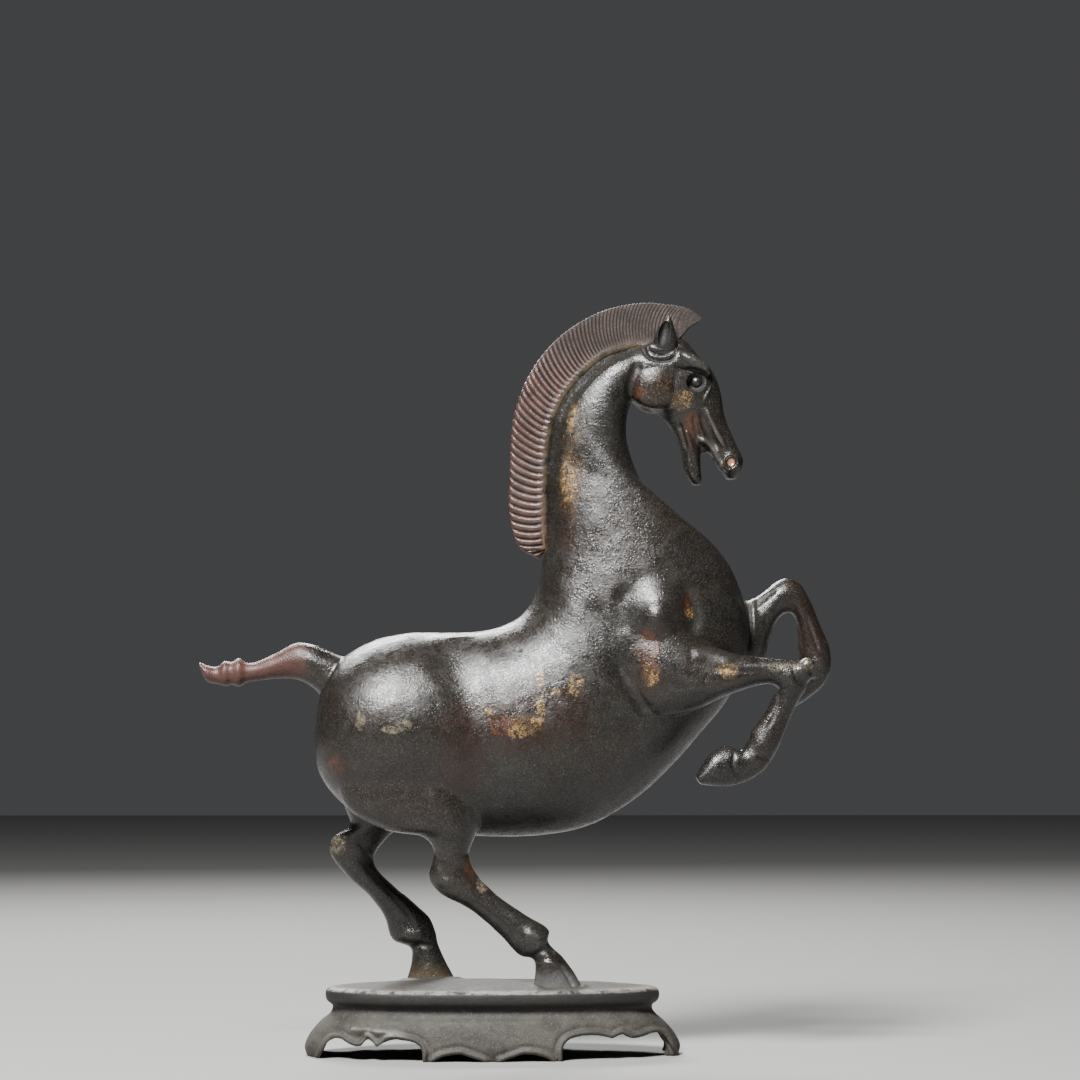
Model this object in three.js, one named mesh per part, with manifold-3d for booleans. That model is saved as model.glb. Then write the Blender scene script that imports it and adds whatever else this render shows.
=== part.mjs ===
// A bronze horse in the manner of the Tang dynasty, rearing on its hind legs, on its own low bronze
// plinth. Millimetres, +Z up. The horse looks along +X, so its right side faces -Y. The origin lies on
// the ground, under the middle of the object's box.

import * as THREE from "three";
import { mergeVertices } from "three/addons/utils/BufferGeometryUtils.js";
import Module from "manifold-3d";

const wasm = await Module();
wasm.setup();

// Driving dimensions of the plinth
const PLINTH_HEIGHT = 22;
const RIM_HALF_LENGTH = 55;
const RIM_HALF_DEPTH = 24;
const CROWN = 2.3; // how much the top swells above its rim in the middle
const PLAN_EGG = 0.1; // how much narrower the head end is than the tail end
const PLAN_FULLNESS = 2.2; // exponent of the oval plan, 2 is an ellipse
const PLINTH_WALL = 3;
const PLINTH_ROOF = 4;
const APRON_FLARE = 7; // how far the feet stand out past the rim at the two ends
const SIDE_FLARE = 0.35; // share of that flare on the long sides
const PLINTH_SIDES = 40;
const ARRIS = 0.9; // how far the worn upper edge of the rim is rounded in
const MIDDLE_FOOT_HALF = 22.5; // half the width of the foot in the middle of each long side
const FOOT_HOLLOW = 2.4; // height of the two shallow hollows in the edge of that foot
const FOOT_TONGUE_HALF = 3; // half the width of the tongue between those hollows
const FOOT_TOE = 3.5; // width left standing at each side of the foot
const END_FOOT_HALF = 7; // half the width of the foot at each end
const HEAD_END = { far: 59.7, height: 8, dip: 1.3 }; // the openings towards the head end
const TAIL_END = { far: 56.2, height: 6.7, dip: 2.2 }; // and those towards the tail end

// Driving dimensions of the horse
const GAP = 0.3; // between the hooves and the top of the plinth
const MARGIN = 2; // how far a shape that is cut away reaches past what it cuts
const SOLE = PLINTH_HEIGHT - 1; // the hooves are drawn down to here, then cut to the crown
const NEAR = -13; // middle of the legs on the near side, the horse's right
const FAR = 15;
const FLUTES = 52; // along the mane, from the forelock to the withers
const SLANT_AT_EAR = 1; // how many flutes a groove drifts from crest to neck
const SLANT_MORE = 1.8; // and how many more half way along
const MANE_HALF = 2.9; // half the thickness of the mane at its root
const CREST_HALF = 1.5; // and near its crest
const CREST_SHARE = 0.22; // share of the way from the crest to the neck where the crest ends
const FLUTE_DEPTH = 0.55;
const CREST_NOTCH = 0.15; // depth of a flute in the edge of the crest
const FORELOCK_TAPER = { thinnest: 0.35, rate: 14 }; // share of full thickness, and growth from there
const WITHERS_TAPER = { thinnest: 0.5, rate: 10 };
const MANE_ROOTED = { tip: 0.4, full: 4.5, growth: 45 }; // depth let into the neck, from the forelock
const EYE_RADIUS = 2.2;
const EYE_AT = [68.3, 222.6];
const HEAD_SIDE = 7.1; // distance from the middle plane to the middle of the eyeball

// A closed solid from one mesh of points and triangles, turned outwards if it came out inside out.
function solid(geometry) {
  const bare = geometry.index ? geometry.clone() : geometry;
  bare.deleteAttribute("normal");
  bare.deleteAttribute("uv");
  const merged = mergeVertices(bare, 1e-4);
  const vertProperties = new Float32Array(merged.attributes.position.array);
  const triVerts = new Uint32Array(merged.index.array);
  if (signedVolume(vertProperties, triVerts) < 0) {
    for (let i = 0; i < triVerts.length; i += 3) {
      const first = triVerts[i];
      triVerts[i] = triVerts[i + 1];
      triVerts[i + 1] = first;
    }
  }
  return new wasm.Manifold(new wasm.Mesh({ numProp: 3, vertProperties, triVerts }));
}

// Six times the volume that the triangles enclose, negative where they face inwards.
function signedVolume(points, triangles) {
  const corner = (i) => new THREE.Vector3().fromArray(points, 3 * triangles[i]);
  let sum = 0;
  for (let i = 0; i < triangles.length; i += 3) {
    sum += corner(i).dot(corner(i + 1).cross(corner(i + 2)));
  }
  return sum;
}

// A geometry that shows the finished solid.
function geometryOf(manifold) {
  const mesh = manifold.getMesh();
  const geometry = new THREE.BufferGeometry();
  geometry.setAttribute("position", new THREE.BufferAttribute(mesh.vertProperties, 3));
  geometry.setIndex(new THREE.BufferAttribute(mesh.triVerts, 1));
  geometry.computeVertexNormals();
  return geometry;
}

// A skin over rings of points that all have the same number of points, closed by a fan at each end.
function skin(rings) {
  const count = rings[0].length;
  const points = rings.flat();
  const triangles = [];
  for (let r = 0; r + 1 < rings.length; r += 1) {
    for (let i = 0; i < count; i += 1) {
      const a = r * count + i;
      const b = r * count + ((i + 1) % count);
      triangles.push(a, b, b + count, a, b + count, a + count);
    }
  }
  const last = (rings.length - 1) * count;
  const middle = (ring) => ring.reduce((sum, p) => sum.add(p), new THREE.Vector3()).divideScalar(count);
  const start = points.push(middle(rings[0])) - 1;
  const end = points.push(middle(rings[rings.length - 1])) - 1;
  for (let i = 0; i < count; i += 1) {
    const next = (i + 1) % count;
    triangles.push(start, next, i, end, last + i, last + next);
  }
  const geometry = new THREE.BufferGeometry().setFromPoints(points);
  geometry.setIndex(triangles);
  return geometry;
}

// A smooth run through values given at even steps, read at steps in between.
function smoothRun(points, between) {
  const curve = new THREE.CatmullRomCurve3(points, false, "centripetal");
  const steps = (points.length - 1) * between;
  return Array.from({ length: steps + 1 }, (_, i) => curve.getPoint(i / steps));
}

// A body or limb lofted through stations. Each station is a slanted cut: it stands on the line from
// [x, z] on the back of the form to [x, z] on its front, with half its width and the place of its
// middle in Y. A positive egg makes the cut wider towards its front.
function loft(stations, { sides = 12, between = 2, egg = 0 } = {}) {
  const backs = smoothRun(stations.map(([back]) => new THREE.Vector3(back[0], 0, back[1])), between);
  const fronts = smoothRun(stations.map(([, front]) => new THREE.Vector3(front[0], 0, front[1])), between);
  const widths = smoothRun(stations.map(([, , half, y]) => new THREE.Vector3(half, y, 0)), between);
  const rings = backs.map((back, s) => {
    const front = fronts[s];
    const { x: half, y } = widths[s];
    return Array.from({ length: sides }, (_, i) => {
      const angle = (2 * Math.PI * i) / sides;
      const along = (1 - Math.cos(angle)) / 2;
      const point = back.clone().lerp(front, along);
      point.y = y + half * Math.sin(angle) * (1 - egg * Math.cos(angle));
      return point;
    });
  });
  return solid(skin(rings));
}

// A rounded lump of flesh or bone, such as a shoulder or a cheek, turned in the X-Z plane.
function lump([x, z], y, [length, width, height], lean = 0, detail = 10) {
  const geometry = new THREE.SphereGeometry(1, detail, Math.round(detail * 0.6));
  geometry.rotateX(Math.PI / 2);
  geometry.scale(length, width, height);
  geometry.rotateY(lean);
  geometry.translate(x, y, z);
  return solid(geometry);
}

// One solid from many that overlap.
function joined(parts) {
  return parts.reduce((sum, part) => sum.add(part));
}

// Trunk and neck in one sweep, from the buttocks along the belly and up the arched neck to the throat.
function trunkAndNeck() {
  return loft(
    [
      [[-59.3, 106], [-59.3, 102], 2, 0],
      [[-57.5, 117], [-57.2, 91.5], 13, 0],
      [[-51.5, 129], [-48.5, 81], 20.5, 0],
      [[-42.5, 135], [-35.5, 74.5], 23.5, 0],
      [[-31, 138.5], [-20, 72], 24.5, 0],
      [[-14.5, 139], [-4, 71.5], 24.5, 0],
      [[-1, 140], [12.5, 71.5], 24.5, 0],
      [[9, 144.5], [30.5, 74.5], 24, 0],
      [[14.5, 152.5], [49, 85], 22.5, 0],
      [[16, 161.5], [65.5, 101.5], 21, 0],
      [[17.5, 171.5], [80, 120], 19.5, 0],
      [[18, 182], [85.3, 139.5], 17.5, 0],
      [[17.5, 192], [81.5, 156.5], 15, 0],
      [[18.5, 200], [74.5, 167.5], 13, 0],
      [[19, 207.5], [61.5, 179], 11.6, 0],
      [[21.5, 214.5], [51, 187.5], 10.4, 0],
      [[25.5, 221], [46.5, 197], 9.8, 0],
      [[31, 227], [44.5, 206.5], 9.3, 0],
      [[38, 231.5], [46, 215.5], 8.8, 0],
      [[46, 234], [54, 221], 7.5, 0],
    ],
    { sides: 18, egg: 0.08 },
  );
}

// The near hind leg carries the weight well forward, under the middle of the belly.
function nearHindLeg() {
  return loft(
    [
      [[-45, 110], [-14, 117], 6, NEAR + 3],
      [[-51, 94], [-3.5, 102], 13.2, NEAR + 0.4],
      [[-48, 81.5], [-1.5, 88], 13.5, NEAR],
      [[-36, 74], [-3.5, 77.5], 11.5, NEAR],
      [[-22.5, 71.5], [-6, 71.5], 8, NEAR],
      [[-19.3, 67], [-8, 65], 6, NEAR],
      [[-20.8, 58.5], [-6, 60], 5.2, NEAR],
      [[-17.5, 53.5], [-1.5, 55.2], 4.9, NEAR],
      [[-8, 48.3], [4, 50.8], 4.3, NEAR],
      [[2.3, 39.5], [11.5, 46], 4.2, NEAR],
      [[8.8, 33], [18.5, 41.2], 4.9, NEAR],
      [[13.2, 31.8], [18.2, 37.5], 4.3, NEAR],
      [[14, 28.5], [22.5, 32], 5, NEAR],
      [[13.8, SOLE], [29.3, SOLE], 5.8, NEAR],
    ],
    { sides: 8 },
  );
}

// The far hind leg stands further back, on the far edge of the plinth.
function farHindLeg() {
  return loft(
    [
      [[-45, 110], [-16, 117], 6, FAR - 5],
      [[-52, 94], [-10, 102], 13, FAR - 2.4],
      [[-50, 82], [-14, 88], 12.8, FAR - 2],
      [[-48, 74.8], [-24, 80], 8.8, FAR - 1],
      [[-54, 70.5], [-36.5, 69.5], 6, FAR],
      [[-54.7, 65.5], [-40, 62.5], 5.2, FAR],
      [[-48.3, 57], [-33.3, 54.5], 4.6, FAR],
      [[-41.6, 51], [-26.2, 48.5], 4.4, FAR],
      [[-36.5, 44.5], [-21, 43.5], 4.4, FAR],
      [[-33.5, 36.5], [-19, 38.5], 4.9, FAR],
      [[-27.5, 34], [-18.5, 35.5], 4.3, FAR],
      [[-27, 30], [-16, 29.5], 4.8, FAR],
      [[-28.8, SOLE], [-11.5, SOLE], 5.8, FAR],
    ],
    { sides: 8 },
  );
}

// The near foreleg is held level, folded at the knee, with its hoof tucked back under it.
function nearForeleg() {
  return joined([
    loft(
      [
        [[40, 158], [62, 160], 4, -11],
        [[35.5, 149], [66, 152.5], 9.5, -13],
        [[36, 136], [67, 142], 10.5, -13.5],
        [[41, 121.5], [69, 136.5], 10, -14.5],
        [[51, 111], [73, 133.7], 8.7, -15.5],
        [[65, 112.5], [77.5, 132], 7, -16],
        [[79.5, 119], [86, 130.7], 5.6, -16.5],
        [[91.5, 121.5], [95, 129.7], 4.7, -16.5],
        [[94, 119.3], [102.5, 128.2], 5, -16.5],
        [[92, 117.8], [103.2, 121.5], 4.6, -16.5],
        [[90, 113.5], [99.5, 114.5], 3.6, -16.5],
        [[85.7, 107.5], [96, 107], 3.6, -16.5],
        [[83.8, 103.5], [93.2, 100.5], 4, -16.5],
        [[81, 100], [88.3, 93], 3.7, -16.5],
        [[76.5, 101.5], [81, 89], 4.4, -16.5],
        [[71.5, 99.3], [74, 88.2], 5, -16.5],
        [[66.3, 91.5], [67.8, 88.8], 4.2, -16.5],
      ],
      { sides: 8 },
    ),
    lump([50.5, 149], -14, [13.5, 9.5, 12.5]),
  ]);
}

// The far foreleg is raised higher, with its knee up and its hoof behind the near knee.
function farForeleg() {
  return loft(
    [
      [[62, 124], [64, 150], 5, 10],
      [[78, 124], [76, 152], 8, 12],
      [[90.5, 128], [86.5, 150.5], 6.8, 14],
      [[93, 135.5], [91.5, 153.3], 5.8, 14.5],
      [[95.2, 142], [95.5, 156.7], 5.2, 14.5],
      [[98, 145.7], [99.5, 158.2], 5, 14.5],
      [[101, 146.3], [104, 156.5], 4.6, 14.5],
      [[102.7, 143.5], [107.3, 151], 4.1, 14.5],
      [[103.2, 139], [111, 141.5], 3.7, 14.5],
      [[103.3, 134.5], [114, 134], 4.1, 14.5],
      [[103.7, 130.5], [114.2, 128], 4, 14.5],
      [[103, 127], [112.3, 122.5], 4, 14.5],
      [[101, 123.5], [107.8, 118.3], 4.6, 14.5],
      [[97, 118.5], [101, 113.5], 4.6, 14.5],
    ],
    { sides: 9 },
  );
}

// Skull, muzzle and open lower jaw with the tongue behind it, and cheeks, brows, eyes and nostrils.
function head() {
  const skull = loft(
    [
      [[46, 234], [45, 219], 6.5, 0],
      [[54, 236], [47.5, 215.8], 8.2, 0],
      [[63.6, 237.6], [52.3, 214], 8.6, 0],
      [[68.7, 232.2], [56.7, 210.8], 8.6, 0],
      [[73.8, 226.5], [60, 206.5], 7.6, 0],
      [[76.3, 219.5], [62.5, 203], 6.4, 0],
      [[77.6, 212], [66, 201.3], 5.4, 0],
      [[79.3, 207], [69.7, 200.7], 4.8, 0],
      [[82, 201], [73, 198.3], 5, 0],
      [[83.7, 196.5], [75.3, 195.8], 5.3, 0],
      [[82.2, 192.4], [77.2, 191.6], 4, 0],
    ],
    { sides: 12, egg: -0.1 },
  );
  const jaw = loft(
    [
      [[69, 208], [60, 206.5], 4.6, 0],
      [[69.7, 202], [61.7, 202.5], 4.2, 0],
      [[69.4, 198], [63.2, 198], 3.8, 0],
      [[69.6, 194], [63.7, 194.3], 3.6, 0],
      [[69.9, 189.3], [65.6, 189.3], 2.8, 0],
    ],
    { sides: 8 },
  );
  const paired = [-1, 1].flatMap((side) => [
    lump([54, 221.3], side * 5, [8.3, 4.8, 8.3]),
    lump([67.5, 225.5], side * 6.2, [6, 3, 2.6], 0.7, 8),
    lump(EYE_AT, side * HEAD_SIDE, [EYE_RADIUS, EYE_RADIUS, EYE_RADIUS], 0, 8),
    lump([73.5, 210], side * 3.6, [2, 2.6, 9], -0.3, 8),
    lump([79.3, 196.6], side * 3.9, [3, 2.4, 3], 0, 8),
    ear(side),
  ]);
  const tongue = lump([71, 200.2], 0, [4.2, 2.4, 3.2], 0, 8);
  return joined([skull, jaw, tongue, ...paired]);
}

// One pricked ear, a narrow leaf that leans outwards.
function ear(side) {
  return loft(
    [
      [[53.5, 232.5], [59.5, 232.5], 1.6, side * 5],
      [[54, 237], [59.3, 237], 1.8, side * 6],
      [[55, 240.5], [59.2, 241], 1.3, side * 6.8],
      [[57.6, 244.3], [58.4, 244.5], 0.3, side * 7.2],
    ],
    { sides: 6, between: 1 },
  );
}

// The upright mane, fluted from the forelock to the withers. Every flute runs from the crest down to
// the neck with a slant, which is strongest half way along.
function mane() {
  const crest = new THREE.CatmullRomCurve3(
    [
      [70, 245],
      [66, 248],
      [57.5, 249.6],
      [49.5, 250],
      [36, 247],
      [22.5, 238.7],
      [12.5, 226.5],
      [7, 212],
      [5.4, 193.5],
      [5.5, 176.5],
      [9, 167.3],
      [15.5, 163.5],
    ].map(([x, z]) => new THREE.Vector3(x, 0, z)),
    false,
    "centripetal",
  );
  const root = new THREE.CatmullRomCurve3(
    [
      [69.3, 244],
      [65.4, 241.4],
      [63.4, 239],
      [61, 237.2],
      [56, 236.6],
      [46, 235.3],
      [37.5, 232.5],
      [29, 225],
      [22.5, 216.5],
      [18.5, 205],
      [17.3, 190],
      [17, 176],
      [17.2, 166.5],
    ].map(([x, z]) => new THREE.Vector3(x, 0, z)),
    false,
    "centripetal",
  );
  const rings = [];
  const steps = FLUTES * 2;
  for (let s = 0; s <= steps; s += 1) {
    const along = s / steps;
    const slant = (SLANT_AT_EAR * (1 - along) + SLANT_MORE * Math.sin(Math.PI * along)) / FLUTES;
    const top = crest.getPointAt(along);
    const base = root.getPointAt(along + slant);
    const inwards = base.clone().sub(top).normalize();
    const taper = Math.min(
      1,
      FORELOCK_TAPER.thinnest + FORELOCK_TAPER.rate * along,
      WITHERS_TAPER.thinnest + WITHERS_TAPER.rate * (1 - along),
    );
    const rooted = Math.min(MANE_ROOTED.full, MANE_ROOTED.tip + MANE_ROOTED.growth * along ** 1.5);
    const grooved = s % 2 === 0;
    const groove = grooved ? FLUTE_DEPTH : 0;
    const shoulder = top.clone().lerp(base, CREST_SHARE);
    const at = (point, y) => point.clone().setY(y * taper);
    rings.push([
      at(top.clone().addScaledVector(inwards, grooved ? CREST_NOTCH : 0), 0),
      at(shoulder, CREST_HALF - groove),
      at(base, MANE_HALF - groove),
      at(base.clone().addScaledVector(inwards, rooted), 0),
      at(base, groove - MANE_HALF),
      at(shoulder, groove - CREST_HALF),
    ]);
  }
  return solid(skin(rings));
}

// The tail is held level, bound with two rings, and its tip turns up.
function tail() {
  return loft(
    [
      [[-42, 126], [-46, 112], 5, 0],
      [[-49.5, 130.7], [-55.5, 115], 6.5, 0],
      [[-55.5, 133.2], [-58.5, 119.7], 6.4, 0],
      [[-60.5, 135.3], [-63, 122.6], 6, 0],
      [[-65.5, 135.7], [-66.5, 123.6], 5.3, 0],
      [[-72.5, 132], [-72, 123.6], 4.2, 0],
      [[-79, 129.2], [-79, 122.8], 3.4, 0],
      [[-82, 129], [-82, 122.3], 3.5, 0],
      [[-84.5, 130.7], [-84.5, 120.8], 4.6, 0],
      [[-87, 129.3], [-86.7, 121.7], 3.7, 0],
      [[-89.3, 129.8], [-88.9, 121], 4.4, 0],
      [[-91.7, 127.9], [-91.2, 121.7], 3.4, 0],
      [[-95, 128.2], [-95, 122.7], 3.9, 0],
      [[-98, 129.4], [-97.4, 126.6], 2.6, 0],
    ],
    { sides: 8 },
  );
}

// The oval plan of the plinth at one height: drawn out past the rim, set in by the thickness of a
// wall, or shrunk to a share of itself.
function planRing(z, past, { wall = 0, share = 1 } = {}) {
  const power = 2 / PLAN_FULLNESS;
  const round = (value) => Math.sign(value) * Math.abs(value) ** power;
  const length = (RIM_HALF_LENGTH + past - wall) * share;
  const depth = (RIM_HALF_DEPTH + past * (past > 0 ? SIDE_FLARE : 1) - wall) * share;
  return Array.from({ length: PLINTH_SIDES }, (_, i) => {
    const angle = (2 * Math.PI * i) / PLINTH_SIDES;
    const egg = 1 - PLAN_EGG * Math.cos(angle);
    return new THREE.Vector3(length * round(Math.cos(angle)), depth * egg * round(Math.sin(angle)), z);
  });
}

// The crowned top of the plinth, from its rim to its middle, raised by a margin.
function crownRings(past, raise) {
  const shares = [1, 0.75, 0.4, 0.05];
  return shares.map((share) => {
    return planRing(PLINTH_HEIGHT + raise + CROWN * (1 - share * share), past, { share });
  });
}

// Height above the ground and distance past the rim, from the feet up to the rim.
const plinthProfile = [
  [0, APRON_FLARE - 0.7],
  [3, APRON_FLARE],
  [7, APRON_FLARE - 1.9],
  [11, APRON_FLARE - 5.3],
  [14.2, -1.9],
  [16.2, -2.2],
  [17.6, -0.4],
  [19.8, 0.2],
  [21.4, -0.1],
];

// The cloud-shaped opening between the foot in the middle and the foot at an end. Its top has a broad
// lobe, a small peak between two dips, and a high lobe beside the end foot.
function cloudOpening({ far, height, dip }) {
  const near = MIDDLE_FOOT_HALF;
  const at = (share) => near + (far - near) * share;
  const shape = new THREE.Shape();
  shape.moveTo(near, -MARGIN);
  shape.lineTo(near, height * 0.4);
  shape.quadraticCurveTo(near + 0.3, height, at(0.24), height);
  shape.quadraticCurveTo(at(0.34), height, at(0.44), height - dip);
  shape.lineTo(at(0.53), height);
  shape.lineTo(at(0.6), height - dip);
  shape.quadraticCurveTo(at(0.68), height - dip * 1.2, at(0.78), height - 0.2);
  shape.quadraticCurveTo(at(0.93), height + 1.2, far, 0);
  shape.lineTo(far, -MARGIN);
  shape.closePath();
  return shape;
}

// One of the two shallow hollows that leave a tongue in the edge of the middle foot.
function footHollow() {
  const shape = new THREE.Shape();
  const from = FOOT_TONGUE_HALF;
  const to = MIDDLE_FOOT_HALF - FOOT_TOE;
  shape.moveTo(from, -MARGIN);
  shape.lineTo(from, 0);
  shape.quadraticCurveTo(from + 4, FOOT_HOLLOW * 0.6, from + 7, FOOT_HOLLOW);
  shape.quadraticCurveTo(to - 3, FOOT_HOLLOW, to, 0);
  shape.lineTo(to, -MARGIN);
  shape.closePath();
  return shape;
}

// A shape drawn in the X-Z plane, cut through both long walls of the plinth, near and far, on the +X or
// the -X side. It starts a little way off the middle plane, which leaves the feet at the ends whole.
function throughWalls(shape, side) {
  const geometry = new THREE.ExtrudeGeometry(shape, {
    depth: RIM_HALF_DEPTH + APRON_FLARE,
    bevelEnabled: false,
    curveSegments: 4,
  });
  geometry.rotateX(Math.PI / 2);
  geometry.translate(0, -END_FOOT_HALF, 0);
  geometry.scale(side, 1, 1);
  return joined([solid(geometry), solid(geometry.clone().scale(1, -1, 1))]);
}

// The plinth is a hollow casting: a crowned oval top on a rim, a cove, and an apron that flares out
// into four feet with cloud-shaped openings between them.
function plinth() {
  const ceiling = PLINTH_HEIGHT - PLINTH_ROOF;
  const inside = plinthProfile
    .filter(([z], i) => z < ceiling - PLINTH_WALL && i % 2 === 0)
    .map(([z, past]) => planRing(z === 0 ? -MARGIN : z, past, { wall: PLINTH_WALL }));
  const hollow = skin([...inside, planRing(ceiling, -PLINTH_ROOF, { wall: PLINTH_WALL })]);
  const outside = skin([...plinthProfile.map(([z, past]) => planRing(z, past)), ...crownRings(-ARRIS, 0)]);
  return solid(outside).subtract(
    joined([
      solid(hollow),
      throughWalls(cloudOpening(HEAD_END), 1),
      throughWalls(cloudOpening(TAIL_END), -1),
      throughWalls(footHollow(), 1),
      throughWalls(footHollow(), -1),
    ]),
  );
}

// The space that the top of the plinth takes from the hooves, which stand on its crown.
function footing() {
  return solid(skin([planRing(SOLE - MARGIN, MARGIN), ...crownRings(MARGIN, GAP)]));
}

const casting = joined([
  trunkAndNeck(),
  nearHindLeg(),
  farHindLeg(),
  nearForeleg(),
  farForeleg(),
  head(),
  mane(),
  tail(),
]);
const horse = new THREE.Mesh(
  geometryOf(casting.subtract(footing())),
  new THREE.MeshStandardMaterial({ color: 0x3b3732, roughness: 0.42, metalness: 0.75 }),
);
horse.name = "horse";

const stand = new THREE.Mesh(
  geometryOf(plinth()),
  new THREE.MeshStandardMaterial({ color: 0x5a5547, roughness: 0.55, metalness: 0.6 }),
);
stand.name = "plinth";

// The tail and the knees reach past the plinth, so the middle of the whole box is found here.
const group = new THREE.Group();
group.add(horse, stand);
const middle = new THREE.Box3().setFromObject(group, true).getCenter(new THREE.Vector3());
group.position.set(-middle.x, -middle.y, 0);

export default group;
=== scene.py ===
# %% [markdown]
# # A cast bronze horse on its plinth
#
# The real thing is a hollow bronze casting about 25 cm high: a horse that rears on its hind legs, with a
# fluted mane like a comb, and a low oval plinth with cloud-shaped openings. This lesson builds both round
# a fixed frame, which is the same horse as a plain, faceted solid and whose box they have to fit.

# %% The fixed frame
import math

import bpy
import numpy as np
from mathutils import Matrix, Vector


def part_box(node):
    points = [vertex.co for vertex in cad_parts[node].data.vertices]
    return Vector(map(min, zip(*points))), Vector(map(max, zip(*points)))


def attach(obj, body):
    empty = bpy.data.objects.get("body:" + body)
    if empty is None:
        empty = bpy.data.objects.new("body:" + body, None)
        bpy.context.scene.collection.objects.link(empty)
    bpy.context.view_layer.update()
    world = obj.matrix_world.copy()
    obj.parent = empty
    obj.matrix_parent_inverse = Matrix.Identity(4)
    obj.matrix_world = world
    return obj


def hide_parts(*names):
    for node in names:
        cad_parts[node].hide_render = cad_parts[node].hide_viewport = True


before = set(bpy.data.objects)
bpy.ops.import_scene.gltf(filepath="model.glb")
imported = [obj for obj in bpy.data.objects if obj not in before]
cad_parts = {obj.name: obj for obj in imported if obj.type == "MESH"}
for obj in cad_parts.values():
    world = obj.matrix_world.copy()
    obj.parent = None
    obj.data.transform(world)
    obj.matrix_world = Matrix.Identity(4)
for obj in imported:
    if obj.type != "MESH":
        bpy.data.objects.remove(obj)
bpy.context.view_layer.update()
plinth_low, plinth_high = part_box("plinth")
MM = 0.001
PLINTH_X = (plinth_low.x + plinth_high.x) / 2
ORIGIN = np.array([PLINTH_X, 0, 0])
print("middle of the plinth at x =", round(PLINTH_X / MM, 2), "mm")

# %% [markdown]
# ## Selecting, applying, reading points
#
# An operator acts on all that is selected, so each step first deselects everything and picks its object.
# The sculptor's measures are millimetres from the middle of the plinth, which is handier than the
# frame's metres, so two helpers turn points from one to the other.

# %% Small helpers


def deselect():
    for other in list(bpy.context.selected_objects):
        other.select_set(False)


def pick(*objects):
    deselect()
    for each in objects:
        each.select_set(True)
    bpy.context.view_layer.objects.active = objects[0]


def modify(shape, kind, **settings):
    """Adds one modifier, sets it up and applies it."""
    pick(shape)
    modifier = shape.modifiers.new(kind.lower(), kind)
    for key, value in settings.items():
        setattr(modifier, key, value)
    bpy.ops.object.modifier_apply(modifier=modifier.name)


def edit(shape, *steps):
    """Runs operators in edit mode with everything selected."""
    pick(shape)
    bpy.ops.object.mode_set(mode="EDIT")
    bpy.ops.mesh.select_all(action="SELECT")
    for step in steps:
        step()
    bpy.ops.object.mode_set(mode="OBJECT")
    return shape


def outwards():
    bpy.ops.mesh.normals_make_consistent(inside=False)


def to_frame(points):
    """Millimetres from the middle of the plinth to metres in the frame."""
    return np.asarray(points, float) * MM + ORIGIN


def read(vectors, name):
    """A vector of each point as it is stored."""
    flat = np.empty(len(vectors) * 3)
    vectors.foreach_get(name, flat)
    return flat.reshape(-1, 3)


def read_points(shape):
    return (read(shape.data.vertices, "co") - ORIGIN) / MM


def read_skin(shape):
    """The points of a skin and the way it faces at each of them."""
    return read_points(shape), read(shape.data.vertex_normals, "vector")


def write_points(shape, points):
    shape.data.vertices.foreach_set("co", to_frame(points).ravel())
    shape.data.update()


def count(shape):
    shape.data.calc_loop_triangles()
    return f"{shape.name}: {len(shape.data.vertices)} points, {len(shape.data.loop_triangles)} triangles"


# %% [markdown]
# ## Smooth runs through a few stations
#
# A sculptor notes a limb by a few cuts across it: where the cut meets the back of the limb, where it
# meets the front, how wide it is and how far it lies from the middle plane. A centripetal spline runs
# through every cut without loops or overshoot, which a plain spline makes where cuts lie close together,
# as they do at a hock or a knee.

# %% A spline through stations


def spline(points, between):
    """Points of a centripetal spline, with `between` steps from each given point to the next."""
    points = np.asarray(points, float)
    ends = np.vstack([2 * points[0] - points[1], points, 2 * points[-1] - points[-2]])
    run = []
    for i in range(len(points) - 1):
        p0, p1, p2, p3 = ends[i : i + 4]
        d0, d1, d2 = (max(np.linalg.norm(b - a), 1e-6) ** 0.5 for a, b in ((p0, p1), (p1, p2), (p2, p3)))
        t1 = ((p1 - p0) / d0 - (p2 - p0) / (d0 + d1) + (p2 - p1) / d1) * d1
        t2 = ((p2 - p1) / d1 - (p3 - p1) / (d1 + d2) + (p3 - p2) / d2) * d1
        for t in np.arange(between) / between:
            bend, twist = 3 * (p2 - p1) - 2 * t1 - t2, 2 * (p1 - p2) + t1 + t2
            run.append(p1 + t1 * t + bend * t**2 + twist * t**3)
    run.append(points[-1])
    return np.array(run)


def even_run(points, shares):
    """Points of the same spline at given shares of its length."""
    dense = spline(points, 40)
    lengths = np.concatenate([[0], np.cumsum(np.linalg.norm(np.diff(dense, axis=0), axis=1))])
    at = np.clip(shares, 0, 1) * lengths[-1]
    return np.stack([np.interp(at, lengths, dense[:, k]) for k in range(dense.shape[1])], axis=-1)


# %% [markdown]
# ## A limb from a ball
#
# A ball of rings and sides already is a closed skin with a pole at each end. Its rings are pulled onto
# the cuts of a limb one by one, as a sock goes on, and the poles close the limb's two ends. Extruding a
# circle from cut to cut would give the same skin in many more steps.

# %% Wrapping a ball round rings


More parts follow.
